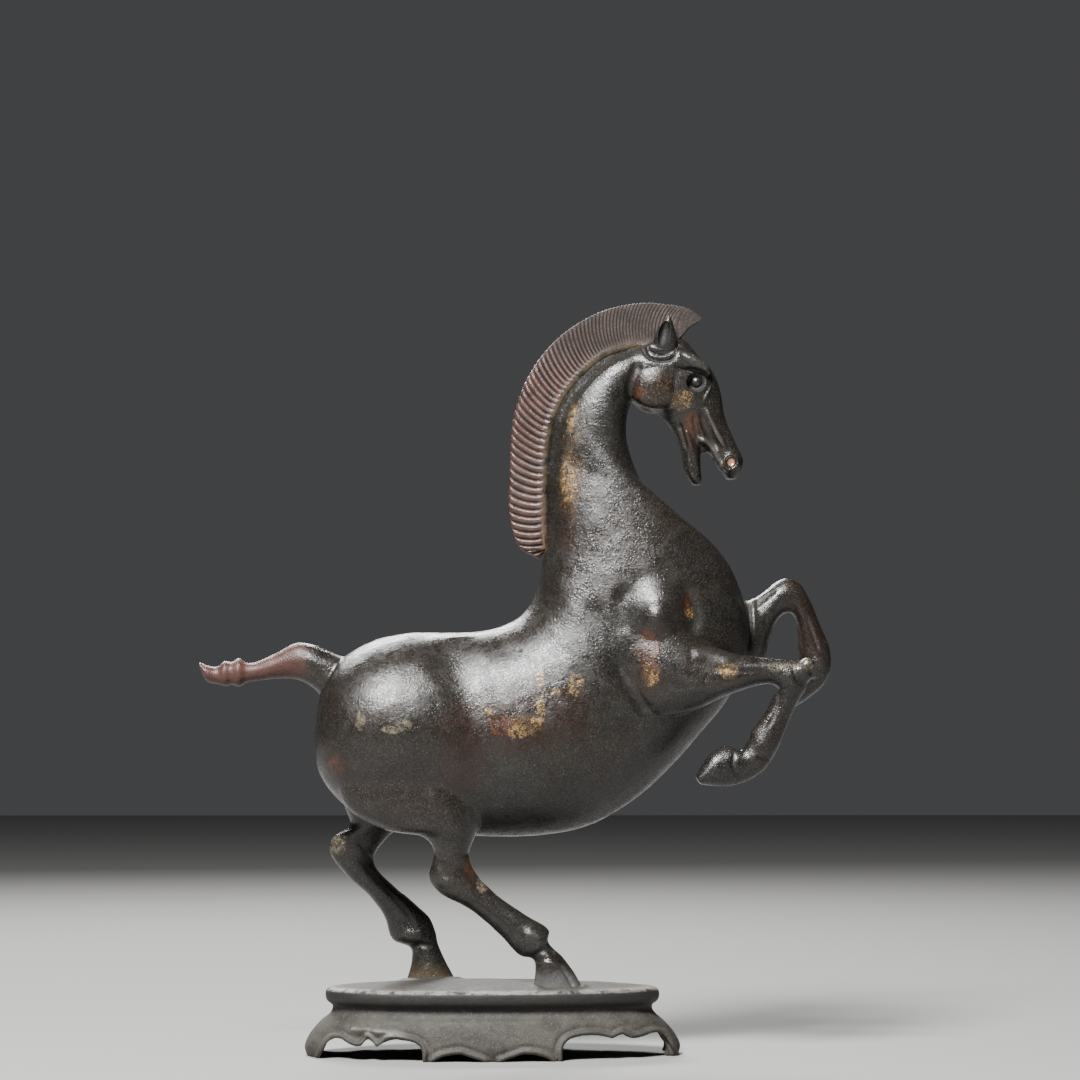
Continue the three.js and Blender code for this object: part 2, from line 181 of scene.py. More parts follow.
def wrap(name, rings):
    """A closed skin over rings of millimetre points, shaped (ring, side, 3)."""
    ring_total, sides = rings.shape[:2]
    deselect()
    bpy.ops.mesh.primitive_uv_sphere_add(segments=sides, ring_count=ring_total + 1)
    shape = bpy.context.object
    shape.name = name
    ball = read(shape.data.vertices, "co")
    ring = np.rint(np.arccos(np.clip(ball[:, 2], -1, 1)) * (ring_total + 1) / np.pi).astype(int)
    side = np.rint(np.arctan2(ball[:, 1], ball[:, 0]) * sides / (2 * np.pi)).astype(int) % sides
    points = rings[np.clip(ring - 1, 0, ring_total - 1), side]
    points[ring == 0] = rings[0].mean(axis=0)
    points[ring == ring_total + 1] = rings[-1].mean(axis=0)
    write_points(shape, points)
    return edit(shape, outwards)


def loft(name, stations, sides=32, between=6, egg=0.0, y=0):
    """A limb through cuts of back x, z, front x, z and half width. A sixth number is a cut's own y."""
    table = np.array([(*station, y)[:6] for station in stations], float)
    backs, fronts, widths = (spline(table[:, k : k + 2], between) for k in (0, 2, 4))
    angles = 2 * np.pi * np.arange(sides) / sides
    along = ((1 - np.cos(angles)) / 2)[None, :, None]
    cuts = backs[:, None] * (1 - along) + fronts[:, None] * along
    across = widths[:, 1:2] + widths[:, :1] * np.sin(angles) * (1 - egg * np.cos(angles))
    return wrap(name, np.stack([cuts[..., 0], across, cuts[..., 1]], axis=-1))


def lump(name, place, y, radii, lean=0.0):
    """A rounded mass of muscle or bone, turned in the side view by `lean` radians."""
    deselect()
    bpy.ops.mesh.primitive_uv_sphere_add(segments=32, ring_count=20)
    shape = bpy.context.object
    shape.name = name
    bpy.ops.transform.resize(value=radii)
    bpy.ops.object.transform_apply(location=False, rotation=False, scale=True)
    x, across, up = read(shape.data.vertices, "co").T
    sine, cosine = np.sin(lean), np.cos(lean)
    turned = np.stack([x * cosine + up * sine, across, up * cosine - x * sine], -1)
    write_points(shape, turned + np.array([place[0], y, place[1]]))
    return shape


# %% [markdown]
# ## Trunk, neck and legs
#
# The trunk and the arched neck are one sweep of slanted cuts, from the buttocks along the belly and up
# to the throat. Each leg is a sweep of its own that starts inside the trunk. The real casting has no
# seam between them, so they are only a start and are melted together further on.

# %% Sweeps for the body
NEAR, FAR, NEAR_ARM, FAR_ARM = -13.0, 15.0, -16.5, 14.5
SOLE = 20.5

trunk = loft("trunk", sides=64, egg=0.08, stations=[
    (-59.3, 106, -59.3, 102, 2), (-57.5, 117, -57.2, 91.5, 13), (-51.5, 129, -48.5, 81, 20.5),
    (-42.5, 135, -35.5, 74.5, 23.5), (-31, 138.5, -20, 72, 24.5), (-14.5, 139, -4, 71.5, 24.5),
    (-1, 140, 12.5, 71.5, 24.5), (9, 144.5, 30.5, 74.5, 24), (14.5, 152.5, 49, 85, 22.5),
    (16, 161.5, 65.5, 101.5, 21), (17.5, 171.5, 80, 120, 19.5), (18, 182, 85.3, 139.5, 17.5),
    (17.5, 192, 81.5, 156.5, 15), (18.5, 200, 74.5, 167.5, 13), (19, 207.5, 61.5, 179, 11.6),
    (21.5, 214.5, 51, 187.5, 10.4), (25.5, 221, 46.5, 197, 9.8), (31, 227, 44.5, 206.5, 9.3),
    (38, 232.2, 46, 215.5, 8.8), (46, 235, 54, 221, 7.5),
])
near_hind = loft("near_hind", y=NEAR, stations=[
    (-44, 110, -17, 114, 8, NEAR + 4), (-51, 94, -3.5, 101, 9.6, NEAR + 1.5),
    (-48, 81.5, -1.5, 88, 10.3, NEAR + 0.8), (-36, 74, -3.5, 77.5, 9.4, NEAR + 0.3),
    (-22.5, 71.5, -6, 71.5, 7.4), (-19.3, 67, -8, 65, 6), (-20.8, 58.5, -6, 60, 5.2),
    (-17.5, 53.5, -1.5, 55.2, 4.9), (-8, 48.3, 4, 50.8, 4.3), (2.3, 39.5, 11.5, 46, 4.2),
    (8.8, 33, 18.5, 41.2, 4.9), (13.2, 31.8, 18.2, 37.5, 4.3), (14, 28.5, 23.2, 32.2, 5.2),
    (13.4, 23.5, 28.2, 25, 6), (13.6, SOLE, 30.4, SOLE, 6.2),
])
far_hind = loft("far_hind", y=FAR, stations=[
    (-44, 110, -19, 114, 8, FAR - 6), (-52, 94, -10, 101, 9.6, FAR - 3.5),
    (-50, 82, -14, 88, 10.3, FAR - 3), (-48, 74.8, -24, 80, 8.8, FAR - 1), (-54, 70.5, -36.5, 69.5, 6),
    (-54.7, 65.5, -40, 62.5, 5.2), (-48.3, 57, -33.3, 54.5, 4.6), (-41.6, 51, -26.2, 48.5, 4.4),
    (-36.5, 44.5, -21, 43.5, 4.4), (-33.5, 36.5, -19, 38.5, 4.9), (-27.5, 34, -18.5, 35.5, 4.3),
    (-27, 30, -16, 29.5, 4.8), (-28.6, 23.5, -13, 24, 5.6), (-30.2, SOLE, -11, SOLE, 6.4),
])
near_fore = loft("near_fore", y=NEAR_ARM, stations=[
    (46, 156, 62, 157.5, 4, -11), (43, 148.5, 64.5, 150, 7.5, -12), (39.5, 136, 66, 142, 8.4, -12.4),
    (41, 121.5, 69, 136.5, 9.2, -14.0), (51, 111, 73, 133.7, 8.3, -15.3), (65, 112.5, 77.5, 132, 7, -16),
    (79.5, 119, 86, 130.7, 5.6), (91.5, 121.5, 95, 129.7, 4.7), (94, 119.3, 102.5, 128.2, 5),
    (92, 117.8, 103.2, 121.5, 4.6), (90, 113.5, 99.5, 114.5, 3.6), (85.7, 107.5, 96, 107, 3.6),
    (83.8, 103.5, 93.2, 100.5, 4), (81, 100, 88.3, 93, 3.7), (76.5, 101.5, 81, 89, 4.4),
    (71.5, 99.3, 74, 88.2, 5), (66.3, 91.5, 67.8, 88.8, 4.2),
])
far_fore = loft("far_fore", y=FAR_ARM, stations=[
    (62, 124, 64, 150, 5, 10), (78, 124, 76, 152, 8, 12), (90.5, 128, 86.5, 150.5, 6.8, 14),
    (93, 135.5, 91.5, 153.3, 5.8), (95.2, 142, 95.5, 156.7, 5.2), (98, 145.7, 99.5, 158.2, 5),
    (101, 146.3, 104, 156.5, 4.6), (102.7, 143.5, 107.3, 151, 4.1), (103.2, 139, 111, 141.5, 3.7),
    (103.3, 134.5, 114, 134, 4.1), (103.7, 130.5, 114.2, 128, 4), (103, 127, 112.3, 122.5, 4),
    (101, 123.5, 107.8, 118.3, 4.6), (97, 118.5, 101, 113.5, 4.6),
])
tail = loft("tail", stations=[
    (-42, 126, -46, 112, 5), (-49.5, 130.7, -55.5, 115, 6.5), (-55.5, 133.2, -58.5, 119.7, 6.4),
    (-60.5, 135.3, -63, 122.6, 6), (-65.5, 135.7, -66.5, 123.6, 5.3), (-72.5, 132, -72, 123.6, 4.2),
    (-79, 129.2, -79, 122.8, 3.4), (-82, 129, -82, 122.3, 3.5), (-84.5, 130.7, -84.5, 120.8, 4.6),
    (-87, 129.3, -86.7, 121.7, 3.7), (-89.3, 129.8, -88.9, 121, 4.4), (-91.7, 127.9, -91.2, 121.7, 3.4),
    (-95, 128.2, -95, 122.7, 3.9), (-98, 129.4, -97.4, 126.6, 2.6),
])
bosses = [
    lump("knee_cap", (103, 128.3), NEAR_ARM, (2.3, 3.6, 2.1)),
    lump("knee_bone", (102, 124.3), NEAR_ARM, (2.7, 4.3, 2.4)),
    lump("ergot", (86.4, 105.2), NEAR_ARM, (2.1, 2.6, 2.2)),
]
body_parts = [trunk, near_hind, far_hind, near_fore, far_fore, tail] + bosses
for part in body_parts:
    print(count(part))

# %% [markdown]
# ## Skull, jaw and face
#
# The head is lean, with a long straight profile and an open mouth. Skull and jaw are two short sweeps.
# The cheek, the brow, the bone that runs down the face and the wings of the nose are lumps that are set
# into them on both sides.

# %% The head
skull = loft("skull", sides=40, egg=-0.1, stations=[
    (46, 235, 45, 219, 6.8), (54, 236.8, 47.5, 215.8, 8.3), (63.6, 237.6, 52.3, 214, 8.6),
    (68.7, 232.2, 56.7, 210.8, 8.4), (73.8, 226.5, 60, 206.5, 7.2), (76.3, 219.5, 62.5, 203, 6.1),
    (77.6, 212, 66, 201.3, 5.2), (79.3, 207, 69.7, 200.7, 4.6), (82, 201, 73, 198.3, 4.8),
    (83.7, 196.5, 75.3, 195.8, 5.1), (82.6, 192.9, 76.9, 192.2, 4.3), (81.2, 190.6, 78, 190.4, 2.6),
])
jaw = loft("jaw", stations=[
    (69, 208, 60, 206.5, 4.6), (69.7, 202, 61.7, 202.5, 4.2), (69.4, 198, 63.2, 198, 3.8),
    (69.6, 194, 63.7, 194.3, 3.6), (69.8, 190.4, 65.2, 190.6, 3), (69.2, 188.4, 66.8, 188.6, 1.6),
])
face_parts = [skull, jaw, lump("tongue", (70, 201.2), 0, (3.0, 2.0, 2.2))]
for hand in (-1, 1):
    face_parts += [
        lump("cheek", (54, 221.3), hand * 5, (8.3, 4.8, 8.3)),
        lump("brow", (66.6, 228.4), hand * 6, (6.4, 3.1, 2.8), 0.62),
        lump("socket", (68.2, 222.4), hand * 5.2, (4.2, 2.2, 3.8), 0.7),
        lump("face_bone", (73.9, 208), hand * 3.9, (1.1, 1.7, 9.5), -0.42),
        lump("nose_wing", (79.4, 195.9), hand * 3.5, (3.4, 2.3, 3.6)),
        lump("ear_root", (55.8, 233.4), hand * 5.8, (5.4, 2.4, 2.6), 0.06),
    ]
print(len(face_parts), "parts of the head")

# %% [markdown]
# ## Melting the parts together
#
# The parts are joined into one object and remeshed with small voxels, which keeps only their common
# outer skin, as a casting has. A boolean union would leave long thin triangles along every seam, and
# those can't be smoothed. The seams are then relaxed by the Smooth modifier: lightly on the head, more on
# the body, and most on the haunch and the shoulder, where broad muscles run into each other.

# %% One skin
FINE_VOXEL = 0.4
VOXEL = FINE_VOXEL
pick(*body_parts, *face_parts)
bpy.ops.object.join()
horse = bpy.context.object
horse.name = "horse"
modify(horse, "REMESH", mode="VOXEL", voxel_size=VOXEL * MM)
print(count(horse))


def relax(shape, passes, group=""):
    """Smooths a skin. Coarse voxels need fewer passes for the same effect."""
    passes = round(passes * (FINE_VOXEL / VOXEL) ** 2)
    modify(shape, "SMOOTH", factor=0.5, iterations=passes, vertex_group=group)


def weigh(shape, name, weights):
    """Stores weights from 0 to 1 as a vertex group, in steps of a tenth."""
    group = shape.vertex_groups.new(name=name)
    steps = np.rint(np.clip(weights, 0, 1) * 10).astype(int)
    for step in range(1, 11):
        members = np.flatnonzero(steps == step)
        if len(members):
            group.add(members.tolist(), step / 10, "REPLACE")


def ramp(values, low, high):
    """0 below low, 1 above high and a smooth step in between. It also runs downwards."""
    t = np.clip((values - low) / (high - low), 0, 1)
    return t * t * (3 - 2 * t)


SKIN_PASSES, HAUNCH_PASSES, SHOULDER_PASSES = 16, 70, 240
points = read_points(horse)
on_head = ramp(points[:, 0], 44, 52) * ramp(points[:, 2], 178, 192)
weigh(horse, "soft", 1 - 0.75 * on_head)
relax(horse, SKIN_PASSES, "soft")
x, y, z = read_points(horse).T
on_haunch = ramp(np.abs(y), 12, 17) * ramp(z, 78, 90) * ramp(z, 122, 112) * ramp(x, 6, -4)
on_shoulder = ramp(y, -7, -12) * ramp(z, 122, 132) * ramp(x, 26, 34) * ramp(x, 76, 68) * ramp(z, 176, 168)
weigh(horse, "haunch", on_haunch)
relax(horse, HAUNCH_PASSES, "haunch")
weigh(horse, "shoulder", on_shoulder)
relax(horse, SHOULDER_PASSES, "shoulder")

# %% [markdown]
# ## Tooling the wax
#
# Creases, tendons and bones are worked into the wax model before it is cast. A tool stroke is a path in
# the side view with a width and a height: each point of the skin near it, on the side that the tool
# works on, moves along its normal. A negative height cuts, and a path of one point is a dome or a dimple.

# %% Tool strokes


def beside(flat, a, b, low=0):
    """How far along the line from a to b each point lies, from low to 1, and how far from it."""
    along = np.clip(((flat - a) @ (b - a)) / max((b - a) @ (b - a), 1e-9), low, 1)
    return along, np.linalg.norm(flat - a - along[:, None] * (b - a), axis=1)


def reach_of(points, normals, path, width, hand, y_range):
    """Which skin points a tool touches along a path, and how much, from 0 to 1."""
    run = spline(path, 6) if len(path) > 1 else np.array(path, float)
    flat = points[:, [0, 2]]
    low, high = run.min(axis=0) - width, run.max(axis=0) + width
    touched = np.all((flat > low) & (flat < high), axis=1)
    touched &= (points[:, 1] > y_range[0]) & (points[:, 1] < y_range[1])
    index = np.flatnonzero(touched)
    place = flat[index]
    best = np.linalg.norm(place - run[0], axis=1) if len(run) == 1 else np.full(len(index), np.inf)
    share = np.full(len(index), 0.5)
    for i in range(len(run) - 1):
        t, gap = beside(place, run[i], run[i + 1])
        closer = gap < best
        best[closer] = gap[closer]
        share[closer] = (i + t[closer]) / (len(run) - 1)
    weight = np.clip(1 - (best / width) ** 2, 0, 1) ** 2
    if len(run) > 1:
        # the tool is lowered and lifted gently
        weight *= ramp(share, -0.02, 0.2) * ramp(share, 1.02, 0.8)
    facing = normals[index, 1] * hand if hand else np.abs(normals[index, 1])
    return index, weight * ramp(facing, -0.1, 0.35)


def stroke(points, normals, path, width, height, hand, y_range):
    """Moves skin points near a path. hand is -1 for the near side, 1 for the far side, 0 for both."""
    index, weight = reach_of(points, normals, path, width, hand, y_range)
    points[index] += normals[index] * (weight * height)[:, None]


def work(points, normals, tasks):
    for hand, y_range, strokes in tasks:
        for path, width, height in strokes:
            stroke(points, normals, path, width, height, hand, y_range)


HEAD_DEPTH = (-14, 14)
# Each stroke is a path, a width and a height.
near_flank = [
    # round haunches and shoulders, and the hollows of the flanks
    ([(-34, 111)], 27, 2.4),
    ([(54.3, 146.8)], 12, 2.6),
    ([(53.5, 141.4)], 6.5, 1.2),
    ([(45.5, 154.5), (42, 149), (41.6, 143), (43.5, 137)], 4.4, -0.5),
    ([(32.5, 150), (34.5, 141), (39, 132), (45, 121)], 6.5, -0.5),
    ([(39.5, 130.5), (43.5, 123), (47.5, 115.8), (51.5, 111)], 3.4, -0.9),
    ([(61.4, 155), (65.2, 148.9), (66.3, 142.4), (64, 136.5)], 3.8, -0.7),
    ([(64.4, 131.5), (72, 131), (79, 128.5)], 3.4, 0.7),
    ([(60, 121), (72, 120), (84, 122)], 3.4, 0.45),
    ([(70, 126.3), (80, 125.6), (90, 125.4)], 1.6, -0.3),
    ([(-17, 136), (-13, 130), (-8, 120.5), (-4, 107), (-2, 94), (-3, 80)], 11, -1.3),
    ([(-22, 90), (-14, 80), (-12, 70)], 5, 0.5),
]
far_flank = [
    ([(-34, 111)], 27, 2.4),
    ([(68, 146)], 13, 1.4),
    ([(-17, 136), (-13, 130), (-8, 120.5), (-5, 107), (-6, 95), (-11, 84)], 11, -1.3),
]
near_legs = [
    # hock, cannon and fetlock of the near hind leg
    ([(-9, 66), (-7, 61), (-4, 57)], 2.6, 0.45),
    ([(-17.5, 66), (-16, 61), (-12, 55)], 2, -0.35),
    ([(-19, 58), (-15, 57), (-11.5, 59.5)], 2.4, 0.4),
    ([(-8, 52), (0, 46.5), (8, 39.5)], 1.1, -0.3),
    ([(10, 41), (14.5, 38.5), (16.5, 36)], 3, 0.4),
    ([(12.5, 32.5), (17.5, 35.2), (20.5, 34)], 1.2, -0.5),
    ([(13.2, 30.3), (18, 31), (23, 29.6)], 0.9, 0.3),
    ([(21.5, 31.4), (24, 27.5), (27, 22)], 1.3, -0.5),
    # knee, cannon and pastern of the near foreleg
    ([(101.3, 126.2)], 2.9, 1),
    ([(98.3, 129), (98.2, 126), (99.3, 123), (101.5, 121.8)], 1, -0.45),
    ([(96.3, 123.4)], 2.6, 0.35),
    ([(94, 118.5), (92.6, 113), (89.5, 106.5)], 1, -0.35),
    ([(84.5, 101), (88, 97.5), (90.5, 97)], 1.3, -0.35),
    ([(79, 100.5), (78.4, 95), (80.5, 89.5)], 1.1, -0.45),
    # where the hoof begins, and its front corner
    ([(19.6, 32.4), (24.2, 26.6), (27, SOLE)], 0.9, -0.4),
    ([(13.4, 30.6), (14.2, 26), (13.8, SOLE)], 1.2, 0.3),
]
far_legs = [
    # hock, cannon and fetlock of the far hind leg, whose outer side faces away
    ([(-45, 64), (-38, 56), (-30, 47.5), (-25, 41)], 1.2, -0.3),
    ([(-31.5, 39), (-27, 38), (-23, 38.5)], 2.6, 0.4),
    ([(-28, 34.4), (-24, 35), (-19, 34.6)], 1.3, -0.5),
    ([(-51, 69), (-50, 67)], 3, 0.4),
    ([(-46, 71), (-42, 66), (-38, 62)], 1.6, -0.35),
    # knee and tendons of the far foreleg, which show on the side that faces the viewer
    ([(87.8, 147.5), (91.5, 151), (96, 154.3)], 1.3, -0.4),
    ([(100.6, 146.5), (103.3, 140), (104.8, 133)], 1.1, -0.5),
    ([(105.5, 146), (108, 139), (110.3, 133)], 1, -0.45),
    ([(110.5, 131), (109.6, 127.5)], 3, 0.4),
    ([(104, 127), (108, 124.6), (111, 125)], 1.2, -0.35),
]
far_arm = [
    ([(85.2, 152), (86.2, 147), (86.4, 140), (85.8, 133)], 1.3, -0.7),
    ([(88, 152.4), (88, 146), (88, 138)], 1.2, 0.35),
]
chest = [
    # folds of the chest and the throat
    ([(79, 160), (83, 150), (84, 141)], 2.4, -0.5),
]
# Each task is the side that the tool comes from, the range in y that it reaches, and its strokes.
body_work = [
    (-1, (-40, -8), near_flank), (1, (8, 40), far_flank), (-1, (-30, -6), near_legs),
    (0, (6, 30), far_legs), (0, (2, 30), far_arm), (0, HEAD_DEPTH, chest),
]
points, normals = read_skin(horse)
work(points, normals, body_work)
print(sum(len(strokes) for _, _, strokes in body_work), "strokes on the body")

# %% [markdown]
# The face is tooled on both sides alike: the socket, the brow, the tear line, the hard bone down to the
# nostril, the edge of the upper lip, the jaw and the curl below the ear.

# %% Strokes on the face
face_strokes = [
    # socket, heavy brow with the deep fold under it, lower lid, front edge and tear line
    ([(68.2, 222.6)], 4, -1.5),
    ([(61.4, 232.4), (64.6, 230.8), (67.4, 229.2), (70.3, 227.4), (72.4, 224.8)], 2.4, 0.9),
    ([(59.8, 227.6), (63, 226.6), (66.6, 226), (69.8, 225.4), (72, 223.8)], 1.2, -1.2),
    ([(61.2, 226), (60.6, 221), (62.8, 216.4), (66.4, 213.8)], 1.3, -0.6),
    ([(72.8, 221.6), (71.4, 218.6), (69.8, 215.6)], 0.6, 0.4),
    # the bone down to the nostril and the trough behind it
    ([(70.6, 214.6), (72.6, 209.6), (75.1, 204.4), (78, 199.6)], 1.2, 1.05),
    ([(68.8, 213.5), (70.6, 208), (72.9, 203.3), (75.4, 200)], 1.8, -0.9),
    # upper lip, jaw and the bars of the mouth
    ([(67.9, 202.4), (70.2, 203.2), (73, 201.2), (74.8, 197.9), (75.9, 194.8), (76.3, 191.9)], 1.2, 1.1),
    ([(64.2, 207), (65.3, 203.5), (66.6, 200)], 0.9, 0.5),
    ([(62, 209.5), (63.3, 204.5), (64.6, 199.6)], 0.9, -0.5),
    ([(66.8, 212.4), (67.8, 207), (68.6, 203.6)], 1.2, -0.6),
    ([(66, 199), (67, 195), (67.8, 191.5)], 1.5, -0.4),
    # the round cheek, the curl below the ear and the crease to the neck
    ([(46.6, 216.4), (49.6, 213.2), (54, 211.8), (59, 211.4), (62.4, 213.8)], 2, -0.4),
    ([(48.6, 229.4), (46.6, 224.6), (45.4, 220.6), (45.8, 216.4)], 2.2, -0.8),
    ([(49.9, 235.2), (50.5, 232.3), (52.3, 230.2), (55.9, 229.4), (59.4, 229.9), (61.2, 231.8)], 1, -0.9),
    ([(51.4, 234.8), (52.4, 232.6), (55.6, 231.4), (59.8, 232.2)], 0.5, -0.4),
    ([(53.2, 235.4), (55.4, 233.8), (58.8, 233.8), (62.2, 235.2)], 0.5, -0.4),
    ([(61, 234.8), (64, 233.2), (66.8, 230.6)], 1.1, -0.35),
]
face_work = [(0, HEAD_DEPTH, face_strokes)]
work(points, normals, face_work)
beside_mane = [
    (50, 233.6), (43, 232.2), (37.6, 229.4), (31.2, 223.6), (25.2, 215.2), (21.0, 204.4),
    (19.6, 190), (19.2, 176), (18.8, 167),
]
stroke(points, normals, beside_mane, 2.4, -0.8, 0, HEAD_DEPTH)
write_points(horse, points)
print(len(face_strokes), "strokes on the face")

# %% [markdown]
# ## Hand-made unevenness
#
# No cast skin is perfectly fair. Two soft cloud patterns push the surface in and out, together by up to
# a third of a millimetre. They are Displace modifiers, because such dents show in the highlights of a
# mesh far better than in a bump map. After that the mesh is thinned, which keeps its points where the
# form bends.

# %% Soft dents and thinning


def dent(shape, name, size_mm, depth_mm):
    clouds = bpy.data.textures.new(name, type="CLOUDS")
    clouds.noise_scale = size_mm * MM
    clouds.noise_depth = 1
    modify(shape, "DISPLACE", texture=clouds, texture_coords="LOCAL", strength=depth_mm * MM, mid_level=0.5)


def thin(shape, triangles):
    shape.data.calc_loop_triangles()
    modify(shape, "DECIMATE", ratio=min(1.0, triangles / len(shape.data.loop_triangles)))
    print(count(shape))


dent(horse, "broad_dents", size_mm=14, depth_mm=0.5)
dent(horse, "small_dents", size_mm=3.5, depth_mm=0.16)
thin(horse, triangles=132000)

# %% [markdown]
# ## The fluted mane
#
# The mane stands up like a comb and is fluted from the forelock to the withers. Every flute is a broad
# ridge between two narrow grooves, which leaves the crest at a slant and bends towards the neck. The
# flutes are fine behind the forelock and grow broad and deep further down. So many strokes would never
# come out even, so the whole mane is one wrapped ball with eight rings to a flute, whose thickness
# follows the flutes. At the withers its end is rolled over a hollow.

# %% Lines of the mane
crest_line = [
    (70, 245), (66, 248), (57.5, 249.6), (49.5, 250), (36, 247), (22.5, 238.7),
    (12.5, 226.5), (7, 212), (5.4, 193.5), (5.5, 176.5), (9, 167.3), (15.5, 163.5),
]
root_line = [
    (69.3, 244), (65.4, 241.4), (63.4, 239), (61, 236.9), (56, 236), (46, 234.8),
    (37.5, 232.1), (29, 225), (22.5, 216.5), (18.5, 205), (17.3, 190), (17, 176), (17.2, 166.5),
]
FINE_FLUTE, BROAD_FLUTE = 0.0095, 0.0215
STEPS_PER_FLUTE = 8
SLANT = 0.065
shares = np.linspace(0, 1, 2001)
per_share = 1 / (FINE_FLUTE + (BROAD_FLUTE - FINE_FLUTE) * ramp(shares, 0.15, 0.75))
counted = np.concatenate([[0], np.cumsum((per_share[1:] + per_share[:-1]) / 2 * np.diff(shares))])
flutes = round(counted[-1])
turns = np.arange(flutes * STEPS_PER_FLUTE + 1) / STEPS_PER_FLUTE
along = np.interp(turns / flutes * counted[-1], counted, shares)
ends = np.minimum(1, np.minimum(along, 1 - along) / 0.05)
slant = (SLANT - 0.02 * ramp(along, 0.1, 0.4)) * ends
print(flutes, "flutes")

# %% Mane


def hump(gap, height, at, width):
    """A bell of the given height and width."""
    return height * np.exp(-(((gap - at) / width) ** 2))


MANE_HALF, CREST_HALF, ROOT_DEPTH = 2.9, 1.55, 4.5
CREST_SHARE = 0.14
CREST_NOTCH = 0.15
FLUTE_DEPTH = 0.62
ridge = 1 - np.abs(np.cos(np.pi * turns)) ** 8
depth = FLUTE_DEPTH * (0.4 + 0.6 * ramp(along, 0.15, 0.4))
depth = depth * ramp(along, -0.02, 0.1) * ramp(along, 0.975, 0.94)
hollow = hump(along, 1, at=0.972, width=0.008)
taper = np.minimum(1, np.minimum(0.35 + 14 * along, 0.6 + 20 * (1 - along)))
down = np.array([0.0, 0.03, 0.08, 0.16, 0.27, 0.4, 0.54, 0.67, 0.78, 0.85, 0.9, 1.0])
half_width = np.where(
    down < CREST_SHARE,
    CREST_HALF * np.sqrt(np.clip(1 - (1 - down / CREST_SHARE) ** 2, 0, 1)),
    CREST_HALF + (MANE_HALF - CREST_HALF) * (down - CREST_SHARE) / (1 - CREST_SHARE),
)
fluted_part = ramp(down, 0.9, 0.84) * ramp(down, -0.04, 0.06)
side_columns = []
for share, half, fluted in zip(down, half_width, fluted_part):
    drift = along + slant * (1 - (1 - share) ** 1.6)
    top = even_run(crest_line, drift)
    base = even_run(root_line, drift)
    place = top + (base - top) * share
    inwards = (base - top) / np.linalg.norm(base - top, axis=1, keepdims=True)
    groove = depth * (1 - ridge) * fluted + hollow * (share > 0.1) * (share < 0.95)
    if share == 0:
        place = place + inwards * (CREST_NOTCH * (1 - ridge)[:, None])
    side_columns.append(np.stack([place[:, 0], np.maximum(half - groove, 0) * taper, place[:, 1]], -1))
rooted = even_run(root_line, along + slant)
inwards = rooted - even_run(crest_line, along + slant)
depth_in = np.minimum(ROOT_DEPTH, 0.4 + 45 * along**1.5)[:, None]
rooted = rooted + inwards / np.linalg.norm(inwards, axis=1, keepdims=True) * depth_in
middle = np.stack([rooted[:, 0], np.zeros(len(along)), rooted[:, 1]], -1)
columns = side_columns + [middle] + [column * (1, -1, 1) for column in side_columns[:0:-1]]
mane = wrap("mane", np.stack(columns, axis=1))
print(count(mane))

# %% [markdown]
# ## Eyes, nostrils and ears
#
# These are the crisp parts of the casting, so they are added to the thinned body with a boolean, whose
# seams stay sharp: a hollow, a ring of lids and a ball for each eye, a ring with a hole bored into it for
# each nostril, and a leaf with a hollow for each ear. The mane is set on in the same way.

# %% Crisp parts of the head


def ring_part(name, place, y, major, minor, squash):
    """A ring that faces sideways."""
    deselect()
    bpy.ops.mesh.primitive_torus_add(
        major_segments=40, minor_segments=12, major_radius=major, minor_radius=minor,
        rotation=(math.pi / 2, 0, 0),
    )
    shape = bpy.context.object
    shape.name = name
    bpy.ops.object.transform_apply(location=False, rotation=True, scale=False)
    write_points(shape, read(shape.data.vertices, "co") * squash + np.array([place[0], y, place[1]]))
    return shape


def combine(shape, tool, operation="UNION"):
    """One boolean, after which the tool is removed."""
    modify(shape, "BOOLEAN", object=tool, operation=operation, solver="MANIFOLD")
    bpy.data.objects.remove(tool)


def ear(hand):
    """A pricked leaf that leans forward."""
    cuts = [
        (53, 61.2, 232, 2.2, 5.4), (53.2, 61.4, 235.6, 2.5, 6.3), (54.3, 60.9, 238.8, 2.1, 6.9),
        (56, 60.1, 241.6, 1.4, 7.2), (57.7, 59.4, 243.6, 0.7, 7.3), (58.4, 58.9, 244.6, 0.3, 7.3),
    ]
    stations = [(back, z, front, z, half, hand * y) for back, front, z, half, y in cuts]
    return loft("ear", stations, sides=20, between=5)


EYE, EYEBALL, EYEBALL_RADII = (67.4, 222.2), (67.9, 222.6), (2.2, 2.0, 2.1)
NOSTRIL = (79.3, 195.8)
EAR_HOLLOW, EAR_HOLLOW_RADII = (56.8, 238.6), (2.0, 3.0, 4.7)
combine(horse, mane)
for hand in (-1, 1):
    combine(horse, lump("eye_hollow", EYE, hand * 7.5, (3.4, 2.3, 3.1)), "DIFFERENCE")
    combine(horse, ring_part("lids", EYE, hand * 6, 3.2, 0.6, (1.12, 1, 1.02)))
    combine(horse, lump("eyeball", EYEBALL, hand * 4.8, EYEBALL_RADII))
    combine(horse, ring_part("nostril", NOSTRIL, hand * 5.2, 2.2, 0.6, (1, 1, 1.1)))
    combine(horse, lump("nostril_hole", NOSTRIL, hand * 6.1, (1.8, 1.5, 1.95)), "DIFFERENCE")
    combine(horse, ear(hand))
    combine(horse, lump("ear_hollow", EAR_HOLLOW, hand * 9.3, EAR_HOLLOW_RADII, 0.2), "DIFFERENCE")
print(count(horse))
